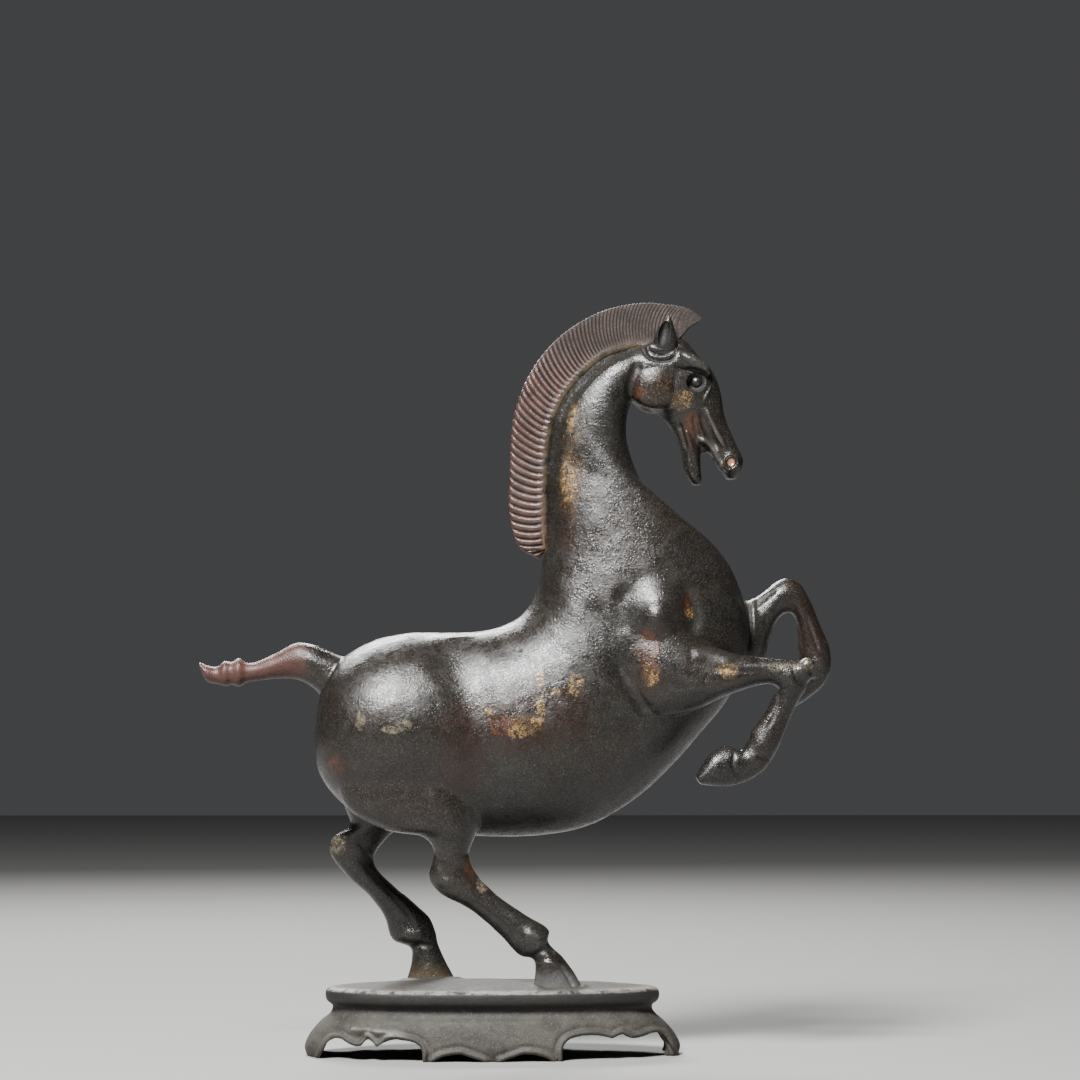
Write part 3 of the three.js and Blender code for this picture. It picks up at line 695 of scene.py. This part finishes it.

# %% [markdown]
# ## Where dirt and painted shade gather, and where hands rub and highlights are painted
#
# A finish can read a value stored on the mesh. Dirt and painted shade gather along every narrow stroke that
# cuts in, round the eyes and in the ears, and the strokes that stand out are rubbed bare and carry a
# painted highlight. Both are stored as attributes of the finished skin, together with one that says where
# the mane is and one for its root.

# %% Dirt with painted shade, rubbing with painted highlight, and mane as attributes


def store(shape, name, values):
    attribute = shape.data.attributes.new(name, "FLOAT", "POINT")
    attribute.data.foreach_set("value", np.ascontiguousarray(values, np.float32))


def out_of(points, place, y, radii):
    """How far out of a ball on either side of the head each point lies, where 1 is the ball's skin."""
    mirrored = points * [1, 0, 1] + np.abs(points) * [0, 1, 0]
    return np.linalg.norm((mirrored - [place[0], y, place[1]]) / radii, axis=1)


WIDEST_LINE = 3.9
points, normals = read_skin(horse)
# The first array holds dirt together with painted shade in the cut creases, the eye sockets and the ear
# hollows; the second holds rubbed wear together with a painted highlight on the raised strokes.
dirt_and_shade = np.zeros(len(points))
rubbed_and_highlight = np.zeros(len(points))
for hand, y_range, strokes in body_work + face_work:
    for path, width, height in strokes:
        if width < WIDEST_LINE:
            index, weight = reach_of(points, normals, path, width * 1.1, hand, y_range)
            target = dirt_and_shade if height < 0 else rubbed_and_highlight
            target[index] = np.maximum(target[index], weight * min(1, 1.3 * abs(height) / width))
in_socket = ramp(out_of(points, EYE, 7.0, (3.4, 2.6, 3.1)), 1.15, 0.95)
dirt_and_shade = np.maximum(dirt_and_shade, in_socket * ramp(out_of(points, EYEBALL, 4.8, EYEBALL_RADII), 1.05, 1.15))
dirt_and_shade = np.maximum(dirt_and_shade, ramp(out_of(points, EAR_HOLLOW, 9.3, EAR_HOLLOW_RADII), 1.2, 1.04))
shares = np.linspace(0, 1, 240)
flat = points[:, [0, 2]]
root_gap = np.full(len(points), np.inf)
on_mane = np.zeros(len(points))
for crest, root in zip(even_run(crest_line, shares), even_run(root_line, shares)):
    t, gap = beside(flat, crest, root, -0.05)
    on_mane = np.maximum(on_mane, (gap < 0.9) & (t < 0.985))
    root_gap = np.minimum(root_gap, np.linalg.norm(flat - root, axis=1))
on_mane = on_mane * (np.abs(points[:, 1]) < MANE_HALF + 0.15)
store(horse, "mane", on_mane)
by_root = np.clip(1 - root_gap / 2.0, 0, 1) * ramp(points[:, 0], 66, 50)
store(horse, "root", by_root * ramp(np.abs(points[:, 1]), 5.4, 4.4))
store(horse, "dirt_and_shade", dirt_and_shade)
store(horse, "rubbed_and_highlight", rubbed_and_highlight)
print("points on the mane:", int(on_mane.sum()))

# %% [markdown]
# ## The plinth
#
# The plinth is a hollow casting with a crowned oval top, a rim, a deep cove and an apron that flares out
# into its feet. It is wrapped like a limb, ring by ring from the ground up, and a smaller skin is taken
# out of it.

# %% Plan and profile of the plinth
PLINTH_HEIGHT = 22.0
RIM_HALF_LENGTH, RIM_HALF_DEPTH = 55.0, 24.0
CROWN, FLARE, SIDE_FLARE, WALL = 2.3, 7.0, 0.35, 3.0
MIDDLE_FOOT_HALF = 22.5
SIDES = 160


def oval(z, past, wall=0.0, share=1.0):
    """One ring of the plan, drawn out past the rim, set in by a wall or shrunk to a share of itself."""
    angle = 2 * np.pi * np.arange(SIDES) / SIDES
    squareness = 2 / 2.2
    length = (RIM_HALF_LENGTH + past - wall) * share
    depth = (RIM_HALF_DEPTH + past * (SIDE_FLARE if past > 0 else 1) - wall) * share
    round_x, round_y = (np.sign(v) * np.abs(v) ** squareness for v in (np.cos(angle), np.sin(angle)))
    ring = [length * round_x, depth * (1 - 0.1 * np.cos(angle)) * round_y, np.full(SIDES, z)]
    return np.stack(ring, axis=-1)


profile = spline(
    [
        (0, FLARE - 0.7), (3, FLARE), (7, FLARE - 1.9), (11, FLARE - 5.3), (14.2, -1.9),
        (16.2, -2.2), (17.6, -0.4), (19.8, 0.2), (21.2, -0.2), (21.9, -1.1),
    ],
    5,
)
outer = [oval(z, past) for z, past in profile]
for share in (0.97, 0.9, 0.8, 0.65, 0.5, 0.35, 0.2, 0.05):
    outer.append(oval(PLINTH_HEIGHT + CROWN * (1 - share * share), -1.1, share=share))
plinth = wrap("plinth", np.array(outer))
inner = [oval(-2, FLARE - 0.7, WALL)] + [oval(z, past, WALL) for z, past in profile if 0 < z < 14.5]
inner += [oval(18, -4, WALL, share) for share in (1, 0.6, 0.1)]
combine(plinth, wrap("hollow", np.array(inner)), "DIFFERENCE")
print(count(plinth))

# %% [markdown]
# The openings are outlines in the side view. Each outline is a flat disc whose corners are moved onto it
# and which is then extruded through the wall, once for each of the two long walls.

# %% Cutting the openings


def outline_of(start, *pieces):
    """Points along a line from a start. A piece of one point is straight, a piece of two is curved."""
    run = [np.array(start, float)]
    for *bend, end in pieces:
        t = np.linspace(0, 1, 10 if bend else 2)[1:, None]
        first, end = run[-1], np.array(end, float)
        if bend:
            run += list(first * (1 - t) ** 2 + 2 * np.array(bend[0]) * t * (1 - t) + end * t**2)
        else:
            run += list(first * (1 - t) + end * t)
    return np.array(run)


def cloud(far, height, dip):
    def at(share):
        return MIDDLE_FOOT_HALF + (far - MIDDLE_FOOT_HALF) * share

    return outline_of(
        (at(0), 0),
        [(at(0), height * 0.4)],
        [(at(0) + 0.3, height), (at(0.24), height)],
        [(at(0.34), height), (at(0.44), height - dip)],
        [(at(0.5), height - dip * 0.2), (at(0.53), height)],
        [(at(0.55), height - dip * 0.3), (at(0.6), height - dip)],
        [(at(0.68), height - dip * 1.2), (at(0.78), height - 0.2)],
        [(at(0.93), height + 1.2), (far, 0)],
    )


def foot_hollow():
    start, end, high = 3.0, MIDDLE_FOOT_HALF - 3.5, 2.4
    return outline_of((start, 0), [(start + 4, high * 0.6), (start + 7, high)], [(end - 3, high), (end, 0)])


def prism(outline, hand, along_x):
    """A closed outline pushed through one long wall."""
    deselect()
    closed = np.vstack([[outline[0, 0], -2], outline, [outline[-1, 0], -2]])
    bpy.ops.mesh.primitive_circle_add(vertices=len(closed), fill_type="NGON")
    shape = bpy.context.object
    start = np.full(len(closed), hand * 7.0)
    write_points(shape, np.stack([closed[:, 0] * along_x, start, closed[:, 1]], -1))
    push = (0, hand * 30 * MM, 0)
    return edit(
        shape,
        lambda: bpy.ops.mesh.extrude_region_move(TRANSFORM_OT_translate={"value": push}),
        lambda: bpy.ops.mesh.select_all(action="SELECT"),
        outwards,
    )


openings = [(cloud(59.7, 8, 1.3), 1), (cloud(56.2, 6.7, 2.2), -1), (foot_hollow(), 1), (foot_hollow(), -1)]
for outline, along_x in openings:
    for hand in (-1, 1):
        combine(plinth, prism(outline, hand, along_x), "DIFFERENCE")
modify(plinth, "REMESH", mode="VOXEL", voxel_size=VOXEL * MM)
relax(plinth, 6)
print(count(plinth))

# %% [markdown]
# ## The bead and the lip
#
# A raised bead runs along every edge of the openings, and the wall turns out to a lip above the openings
# at the tail end. Both are pushed out of the skin by their distance from the outline, so they follow it
# round every corner.

# %% Bead along the openings
points, normals = read_skin(plinth)
wall_side = (points[:, 2] < 12) & (np.abs(normals[:, 1]) > 0.25)
outside = wall_side & (np.sign(normals[:, 1]) == np.sign(points[:, 1]))
push = np.zeros(len(points))
for outline, along_x in openings:
    past_foot = points[:, 0] * along_x > outline[:, 0].min() - 3
    index = np.flatnonzero(outside & past_foot & (points[:, 2] < outline[:, 1].max() + 3))
    flat = np.stack([points[index, 0] * along_x, points[index, 2]], -1)
    gap = np.min([beside(flat, a, b)[1] for a, b in zip(outline[:-1], outline[1:])], axis=0)
    bead = hump(gap, 0.65, at=0.8, width=0.65) - hump(gap, 0.3, at=2.3, width=0.7)
    push[index] = np.where(np.abs(bead) > np.abs(push[index]), bead, push[index])
points += normals * push[:, None]
lip = [(-53, 14.6), (-50.5, 12.2), (-47, 10.1), (-40, 9.2), (-33, 8.5), (-26.5, 8.1)]
under_lip = [(-46, 7.6), (-41, 6.7), (-35, 6.2), (-29, 7)]
LONG_WALLS = ((-1, (-60, -18)), (1, (18, 60)))
for hand, y_range in LONG_WALLS:
    stroke(points, normals, lip, 1.8, 0.9, hand, y_range)
    stroke(points, normals, under_lip, 1.5, -0.4, hand, y_range)
write_points(plinth, points)
print("bead raised by", round(push.max(), 2), "mm")

# %% [markdown]
# Where the hooves meet the plinth, bronze was brazed into the corner. The top is drawn up to them in a
# small fillet: the closer a point of the top is to a hoof, the more it rises.

# %% Fillets at the hooves
FILLET = 0.8
hooves = [((22.0, NEAR), (8.4, 6.2)), ((-20.6, FAR), (9.6, 6.4))]
points = read_points(plinth)
on_top = points[:, 2] > SOLE
for (x, y), (half_length, half_width) in hooves:
    reach = np.hypot((points[:, 0] - x) / half_length, (points[:, 1] - y) / half_width)
    gap = np.maximum(reach - 1, 0) * min(half_length, half_width)
    points[:, 2] += on_top * FILLET * np.exp(-gap / FILLET)
write_points(plinth, points)
dent(plinth, "plinth_dents", size_mm=9, depth_mm=0.35)
dent(plinth, "plinth_grain", size_mm=2.5, depth_mm=0.12)
thin(plinth, triangles=70000)
points, normals = read_skin(plinth)
# Points on the upper side of the lip at the tail end are stored for a painted highlight.
worn_and_highlight = np.zeros(len(points))
for hand, y_range in LONG_WALLS:
    index, weight = reach_of(points, normals, lip[1:], 1.9, hand, y_range)
    worn_and_highlight[index] = weight
store(plinth, "worn_and_highlight", worn_and_highlight * ramp(normals[:, 2], 0.0, 0.35))

# %% [markdown]
# ## Shader arithmetic
#
# A patina is a sum of masks: where the gold is left, where dirt and painted shade lie, where hands have
# rubbed and highlights are painted. Wiring Math nodes by hand hides that sum, so a small class wraps a
# socket and lets it be written as plain arithmetic. Every other node comes from one method, which the rest
# of the class calls.

# %% Sockets with arithmetic


class Signal:
    """One output socket of a shader."""

    def __init__(self, finish, socket):
        self.finish, self.socket = finish, socket

    def math(self, operation, first, second):
        return self.finish.node("ShaderNodeMath", {"operation": operation}, {0: first, 1: second})

    def __add__(self, other):
        return self.math("ADD", self, other)

    def __sub__(self, other):
        return self.math("SUBTRACT", self, other)

    def __mul__(self, other):
        return self.math("MULTIPLY", self, other)

    def __rsub__(self, other):
        return self.math("SUBTRACT", other, self)

    __radd__ = __add__
    __rmul__ = __mul__


class Finish:
    """A material under construction."""

    def __init__(self, name):
        self.material = bpy.data.materials.new(name)
        self.material.use_nodes = True
        self.tree = self.material.node_tree
        self.shader = next(n for n in self.tree.nodes if n.type == "BSDF_PRINCIPLED")
        self.place = self.node("ShaderNodeTexCoord", {}, {}, "Object")

    def plug(self, socket, value):
        """Links a signal to a socket, or sets the socket to a constant."""
        if isinstance(value, Signal):
            self.tree.links.new(value.socket, socket)
        else:
            socket.default_value = (*value, 1) if socket.type == "RGBA" else value

    def node(self, kind, settings, sockets, output=0):
        made = self.tree.nodes.new(kind)
        for key, value in settings.items():
            setattr(made, key, value)
        for key, value in sockets.items():
            self.plug(made.inputs[key], value)
        return Signal(self, made.outputs[output])

    def stored(self, name):
        """A value that is stored on the mesh."""
        return self.node("ShaderNodeAttribute", {"attribute_name": name}, {}, "Fac")

    def axis(self, letter):
        return self.node("ShaderNodeSeparateXYZ", {}, {"Vector": self.place}, letter)

    def noise(self, size_mm, detail, roughness, distortion=0.0):
        """Noise from 0 to 1 with grains of about the given size."""
        sockets = {"Vector": self.place, "Scale": 1 / (size_mm * MM), "Detail": detail}
        sockets.update({"Roughness": roughness, "Distortion": distortion})
        return self.node("ShaderNodeTexNoise", {}, sockets)

    def step(self, signal, low, high):
        """0 below low, 1 above high, smooth in between."""
        sockets = {"Value": signal, "From Min": low, "From Max": high}
        return self.node("ShaderNodeMapRange", {"interpolation_type": "SMOOTHSTEP"}, sockets)

    def vector(self, operation, first, second=(0, 0, 0), output=0):
        return self.node("ShaderNodeVectorMath", {"operation": operation}, {0: first, 1: second}, output)

    def spot(self, place, radii, ragged, tear):
        """A patch round a point in millimetres, with an edge torn by a noise."""
        moved = self.vector("SUBTRACT", self.place, tuple(to_frame(place)))
        scaled = self.vector("DIVIDE", moved, tuple(r * MM for r in radii))
        reach = self.vector("LENGTH", scaled, output="Value")
        return self.step(reach + (ragged - 0.5) * (2 * tear), 1.1, 0.55)

    def blend(self, mask, first, second):
        """A colour that goes from first to second as the mask goes from 0 to 1."""
        return self.node("ShaderNodeMix", {"data_type": "RGBA"}, {0: mask, 6: first, 7: second}, 2)

    def coats(self, colour, *coats):
        """Lays coats over a colour, each of them a mask and a colour of its own."""
        for mask, coat in coats:
            colour = self.blend(mask, colour, coat)
        return colour

    def bump(self, height, depth_mm, **below):
        sockets = {"Height": height, "Distance": depth_mm * MM, "Strength": 1.0}
        return self.node("ShaderNodeBump", {}, sockets | below)

    def finish(self, **sockets):
        for key, value in sockets.items():
            self.plug(self.shader.inputs[key.replace("_", " ").title()], value)


# %% [markdown]
# ## The horse's patina
#
# Old bronze is nearly black, with a fine speckle of bare grains. The mane and the tail have kept a
# red-brown lacquer. Gold leaf is left in flecks on the barrel, the neck, the shoulder and the knee, with
# rust-red ground round it, and ochre dirt lies where the mane meets the neck. Each is a patch at its own
# place, with an edge torn by noise, and all are laid over each other like coats.

# %% Horse finish: the bronze itself
bronze = Finish("horse_patina")
grain = bronze.noise(0.55, 2.0, 0.7)
leather = bronze.noise(1.0, 2.0, 0.5, 1.2)
blotch = bronze.noise(9.0, 6.0, 0.68, 0.6)
cloudy = bronze.noise(30.0, 4.0, 0.6, 0.3)
ragged = bronze.noise(5.0, 7.0, 0.72, 0.8)
flake = bronze.noise(1.6, 6.0, 0.8, 1.0)
specks = bronze.noise(0.32, 2.0, 0.6)
worn_smooth = bronze.noise(4.5, 7.0, 0.75, 0.5)

GROUND, GREY, BROWN = (0.0055, 0.0048, 0.004), (0.0145, 0.0133, 0.0115), (0.011, 0.0065, 0.004)
GRAIN, PIT, BARE = (0.065, 0.06, 0.051), (0.002, 0.0018, 0.0016), (0.15, 0.138, 0.118)
DIRT_AND_SHADE, RUBBED_AND_HIGHLIGHT = (0.003, 0.0025, 0.002), (0.11, 0.102, 0.09)
bright_grains = bronze.step(grain, 0.54, 0.7)
dark_pits = bronze.step(grain, 0.46, 0.34)
bare_specks = bronze.step(specks, 0.58, 0.7)
# Dark colour in the cut creases, the eye sockets and the ear hollows is dirt and painted shade; pale colour
# on the raised strokes is rubbed wear and a painted highlight.
dirt_and_shade = bronze.stored("dirt_and_shade")
colour = bronze.coats(
    GROUND,
    (bronze.step(blotch, 0.35, 0.68) * 0.8, GREY),
    (bronze.step(cloudy, 0.42, 0.62) * 0.6, BROWN),
    (bright_grains * 0.3, GRAIN),
    (dark_pits * 0.6, PIT),
    (bare_specks * 0.45, BARE),
    (dirt_and_shade * 0.75, DIRT_AND_SHADE),
    (bronze.stored("rubbed_and_highlight") * 0.3, RUBBED_AND_HIGHLIGHT),
)

# %% Horse finish: what is left of the lacquer and the gold
STAIN, TOBACCO, RUST = (0.017, 0.007, 0.004), (0.048, 0.026, 0.01), (0.07, 0.021, 0.006)
GOLD, COPPER_AND_GLINT, SPARK = (0.58, 0.36, 0.13), (0.52, 0.27, 0.18), (0.4, 0.31, 0.19)
OCHRE, CREAM_AND_GLINT = (0.1, 0.072, 0.036), (0.22, 0.19, 0.125)


def patches(spots, tear):
    """The sum of several torn patches, from 0 to 1."""
    total = 0
    for *place, x_radius, y_radius, z_radius in spots:
        total = bronze.spot(place, (x_radius, y_radius, z_radius), ragged, tear) + total
    return bronze.step(total, 0, 1)


# Each patch is its middle and how far it reaches along x, y and z.
stain_spots = [
    (24, -14, 192, 6.5, 9, 36), (12, -25, 112, 24, 9, 15), (-7, -25, 124, 5, 8, 8),
    (-10, -22, 100, 9, 9, 20), (51, -24, 129, 7, 9, 16), (64.3, -22, 147, 4, 8, 10),
    (-51.5, -19, 95, 6, 8, 8), (52, -9, 220, 10, 5, 9), (66, -5, 208, 4.5, 6, 9), (-5, -16, 60, 6, 6, 9),
    (30, 22, 118, 22, 9, 12), (-38, 22, 112, 11, 9, 10), (104, 15, 140, 12, 9, 22),
]
tobacco_spots = [
    (24.5, -14, 193, 6.5, 9, 22), (26, -13, 212, 5.5, 8, 12), (10, -25, 108, 7, 8, 4),
    (51, -24, 124.5, 3.4, 8, 5), (76, -21, 125.5, 5, 7, 3), (62, -8, 216, 5, 6, 4), (22, 20, 112, 12, 9, 8),
]
rust_spots = [
    (50.6, -24, 132.5, 4.0, 9, 8), (52, -24, 125.5, 2.6, 9, 5), (64.3, -22, 147.5, 1.9, 8, 7),
    (3, -25, 108, 7, 9, 4), (-8.3, -25, 125.3, 2.6, 8, 3.4), (-51.5, -19, 95, 3.6, 8, 4),
    (66.3, -5, 208.5, 2.6, 6, 5), (47.6, -9, 218.6, 3.0, 5, 3), (30, 22, 118, 12, 9, 7),
    (-7, -17, 62, 2.6, 6, 3.6),
]
gold_spots = [
    (9, -25, 106, 3.8, 9, 2.6), (13.6, -25, 109, 1.8, 9, 2.6), (-1, -25, 113, 2.0, 9, 1.6),
    (15.6, -25, 113, 1.6, 9, 5), (15.4, -25, 123.5, 1.6, 9, 5), (20.5, -25, 118.5, 2.6, 9, 1.6),
    (27, -25, 121.4, 3.2, 9, 4), (52.2, -24, 123.5, 2.2, 9, 3.4), (64.6, -21, 144.5, 1.8, 8, 3.6),
    (24.5, -13, 190, 3.6, 8, 10), (25.5, -12, 210, 2.6, 8, 8), (76.2, -21, 125.5, 3.6, 6, 2.4),
    (64.6, -8, 217, 2.4, 6, 2.6), (22, 22, 112, 8, 9, 5),
]
# Pale cream flecks. The long one along the top of the forearm and the two on the haunch at x -33 and -29
# are painted glints of light; the others are pale flecks on the bronze.
cream_and_glint_spots = [
    (-43, -23, 109.3, 2.0, 6, 4.0), (-38.4, -23, 123.5, 2.6, 6, 1.6), (103, -20, 128, 3.4, 6, 3.2),
    (95, -20, 127, 8, 6, 2.0), (-33, -25.5, 106.4, 3.2, 8, 1.4), (-29, -25.5, 108, 3.0, 8, 2.2),
    (-3.5, -16, 56, 2.4, 6, 3.0), (-53, 12, 69, 4, 8, 4), (-11.8, -24, 75.2, 1.0, 4, 1.0),
]

# %% Horse finish: coats of stain, rust and gold
threads = bronze.noise(0.8, 5.0, 0.8, 1.5)
tobacco = patches(tobacco_spots, 0.8)
red = patches(rust_spots, 0.95) * (0.12 + 0.88 * bronze.step(flake, 0.46, 0.58))
gilt = patches(gold_spots, 0.95) * bronze.step(flake, 0.48, 0.56) * bronze.step(threads, 0.46, 0.54)
cheek = bronze.spot((54, -10, 220), (9, 5, 8), ragged, 0.5)
# Bright copper inside the near nostril: copper colour together with a painted glint.
copper_and_glint = bronze.spot((NOSTRIL[0], -5, NOSTRIL[1]), (1.3, 2.4, 1.5), ragged, 0.1)
# The cream coat is partly pale flecks on the bronze and partly painted glints of light.
cream_and_glint = patches(cream_and_glint_spots, 0.95) * bronze.step(flake, 0.4, 0.6)
colour = bronze.coats(
    colour,
    (patches(stain_spots, 0.8) * (0.25 + 0.4 * bronze.step(blotch, 0.35, 0.6)), STAIN),
    (tobacco * (0.25 + 0.5 * bronze.step(flake, 0.4, 0.6)), TOBACCO),
    (red * 0.8, RUST),
    (gilt * 0.85, GOLD),
    ((tobacco + cheek * 0.6) * bronze.step(specks, 0.59, 0.67) * 0.6, SPARK),
    (copper_and_glint * 0.8, COPPER_AND_GLINT),
    (cream_and_glint * (0.35 + 0.65 * bronze.step(threads, 0.42, 0.55)) * 0.6, CREAM_AND_GLINT),
)

# %% Horse finish: mane, tail, feet and roughness
LACQUER, MAROON, TAIL_RED = (0.026, 0.011, 0.008), (0.066, 0.03, 0.022), (0.07, 0.018, 0.012)
DULL_GRAIN, DULL_PIT, MANE_TOP_PAINTED_SHADE = (0.13, 0.1, 0.085), (0.02, 0.011, 0.009), (0.011, 0.007, 0.005)
SILVERY_PAINTED_HIGHLIGHT = (0.15, 0.145, 0.14)
across, height = bronze.axis("Y"), bronze.axis("Z")
on_tail = bronze.step(bronze.axis("X") + (ragged - 0.5) * 0.014, PLINTH_X - 0.058, PLINTH_X - 0.068)
on_mane = bronze.stored("mane")
mane_top = on_mane * bronze.step(height, 0.222, 0.24)
old_dirt = bronze.step(bronze.stored("root") + (ragged - 0.5) * 1.2, 0.4, 1.0)
old_dirt = old_dirt * bronze.step(blotch, 0.4, 0.58)
on_foot = bronze.step(height + (ragged - 0.5) * 0.01, 0.031, 0.022)
lacquered = bronze.coats(
    LACQUER,
    (bronze.step(blotch, 0.35, 0.65), MAROON),
    (bare_specks * 0.3, DULL_GRAIN),
    (dark_pits * 0.5, DULL_PIT),
)
colour = bronze.coats(
    colour,
    (on_tail * 0.9, bronze.blend(0.45, lacquered, TAIL_RED)),
    (on_mane * 0.8, lacquered),
    # Painted shade darkens the top of the mane.
    (mane_top * 0.75, MANE_TOP_PAINTED_SHADE),
    (old_dirt * 0.5, OCHRE),
    (on_foot * bronze.step(across, 0, 0.004) * 0.5, OCHRE),
    # The near feet, which face the key light, are painted with a silvery highlight.
    (on_foot * bronze.step(across, 0, -0.004) * 0.5, SILVERY_PAINTED_HIGHLIGHT),
)
bronze.finish(
    base_color=colour,
    metallic=0.1 + gilt * 0.6 + copper_and_glint * 0.4,
    roughness=0.17
    + dark_pits * 0.2
    + bronze.step(specks, 0.55, 0.4) * 0.1
    + bronze.step(worn_smooth, 0.58, 0.4) * 0.13
    + dirt_and_shade * 0.45
    + on_mane * 0.1
    + mane_top * 0.4
    + on_tail * 0.2,
    normal=bronze.bump(grain, 0.1, Normal=bronze.bump(leather, 0.11)),
)
print("horse finish has", len(bronze.tree.nodes), "nodes")

# %% [markdown]
# ## The plinth's finish
#
# The plinth has never been rubbed as often as the horse. It is dull with dust, khaki-grey, with painted
# shade on its crowned top and in the cove, worn bare along the edge of the rim with a painted highlight,
# and a painted highlight on the lip.

# %% Plinth finish
PALE_DUST, DARK_DUST, TOP_PAINTED_SHADE = (0.046, 0.042, 0.034), (0.016, 0.014, 0.011), (0.018, 0.016, 0.012)
RIM, COVE_PAINTED_SHADE, DUST_PIT = (0.004, 0.0036, 0.003), (0.009, 0.008, 0.006), (0.015, 0.013, 0.01)
WORN_AND_HIGHLIGHT, LIP_PAINTED_HIGHLIGHT, DUST_GRAIN = (0.3, 0.28, 0.24), (0.26, 0.25, 0.22), (0.12, 0.11, 0.09)
dusty = Finish("plinth_patina")
grain = dusty.noise(0.6, 3.0, 0.7)
blotch = dusty.noise(10.0, 5.0, 0.65, 0.4)
ragged = dusty.noise(3.5, 5.0, 0.65)
height = dusty.axis("Z")
uneven = height + (ragged - 0.5) * 0.0012


def band(low_out, low_in, high_in, high_out):
    """1 between two heights, torn along its edges."""
    return dusty.step(uneven, low_out, low_in) * dusty.step(uneven, high_out, high_in)


rim = band(0.016, 0.0178, 0.0214, 0.0224)
# A thin band along the top edge of the rim is worn bare and carries a painted highlight.
worn_and_highlight = band(0.0209, 0.0215, 0.0219, 0.0225) * dusty.step(ragged, 0.38, 0.55)
colour = dusty.coats(
    DARK_DUST,
    (dusty.step(blotch, 0.3, 0.7), PALE_DUST),
    # Painted shade darkens the crowned top of the plinth.
    (dusty.step(height, 0.0222, 0.0235) * 0.8, TOP_PAINTED_SHADE),
    (rim * 0.9, RIM),
    # Painted shade darkens the cove under the rim.
    (band(0.0135, 0.0148, 0.0166, 0.0176) * 0.8, COVE_PAINTED_SHADE),
    (worn_and_highlight * 0.6, WORN_AND_HIGHLIGHT),
    # The upper side of the lip at the tail end carries a painted highlight.
    (dusty.stored("worn_and_highlight") * dusty.step(ragged, 0.3, 0.6) * 0.5, LIP_PAINTED_HIGHLIGHT),
    (dusty.step(grain, 0.54, 0.7) * (0.5 - rim * 0.35), DUST_GRAIN),
    (dusty.step(grain, 0.46, 0.34) * 0.45, DUST_PIT),
)
dusty.finish(
    base_color=colour,
    metallic=0.1 + worn_and_highlight * 0.4,
    roughness=0.7 + (ragged - 0.5) * 0.25 - rim * 0.05 - worn_and_highlight * 0.15,
    normal=dusty.bump(grain, 0.16),
)
print("plinth finish has", len(dusty.tree.nodes), "nodes")

# %% [markdown]
# ## Putting the pieces into the frame
#
# Each piece gets its finish and smooth shading, rides on the one body of the frame and stands for its
# plain solid, which is no longer shown.

# %% Pieces in the frame
for piece, finish, node in ((horse, bronze, "horse"), (plinth, dusty, "plinth")):
    piece.data.materials.clear()
    piece.data.materials.append(finish.material)
    pick(piece)
    bpy.ops.object.shade_smooth_by_angle(angle=math.radians(50))
    piece.vertex_groups.clear()
    piece.name = "bronze_" + node
    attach(piece, "root")
    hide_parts(node)
    print(count(piece))

# %% [markdown]
# ## Floor, light and camera
#
# The horse stands on a plain pale floor. A soft light hangs high in front of it, a little to the left,
# and a wider and weaker one above and behind draws a thin bright line along its back. The camera stands
# a metre away on the horse's right, level with its belly.

# %% Studio
deselect()
bpy.ops.mesh.primitive_plane_add(size=8, location=(0, 0, -0.0002))
floor = bpy.context.object
floor.name = "floor"
paper = Finish("floor_paper")
paper.finish(base_color=(0.25, 0.247, 0.24), roughness=0.9)
floor.data.materials.append(paper.material)


def soft_light(name, place, aim, size, watts):
    data = bpy.data.lights.new(name, type="AREA")
    data.shape = "RECTANGLE"
    data.size, data.size_y = size
    data.energy = watts
    lamp = bpy.data.objects.new(name, data)
    bpy.context.scene.collection.objects.link(lamp)
    lamp.location = place
    lamp.rotation_euler = (Vector(aim) - Vector(place)).to_track_quat("-Z", "Y").to_euler()


soft_light("key", (-0.3, -0.78, 1.02), aim=(0, 0, 0.13), size=(0.32, 0.32), watts=64)
soft_light("back", (-0.25, 0.9, 0.9), aim=(0, 0, 0.14), size=(0.7, 0.3), watts=26)
world = bpy.data.worlds.new("studio")
world.use_nodes = True
background = next(n for n in world.node_tree.nodes if n.type == "BACKGROUND")
background.inputs["Color"].default_value = (0.86, 0.87, 0.9, 1)
background.inputs["Strength"].default_value = 0.07
bpy.context.scene.world = world

lens = bpy.data.cameras.new("camera")
lens.lens = 100
lens.sensor_width = 36
lens.clip_start = 0.01
camera = bpy.data.objects.new("camera", lens)
bpy.context.scene.collection.objects.link(camera)
camera.location = (PLINTH_X, -1.0, 0.098)
TILT, PAN = 4.118, -0.898
camera.rotation_euler = (math.radians(90 + TILT), 0, math.radians(PAN))
bpy.context.scene.camera = camera
print("camera at", tuple(round(v, 3) for v in camera.location))

# %% [markdown]
# ## The sizes
#
# Both boxes, of the finished pieces and of the plain solids, are written down. The finished pieces have
# to fit the box of the plain solids to within a few hundredths of its size.

# %% Sizes
deselect()
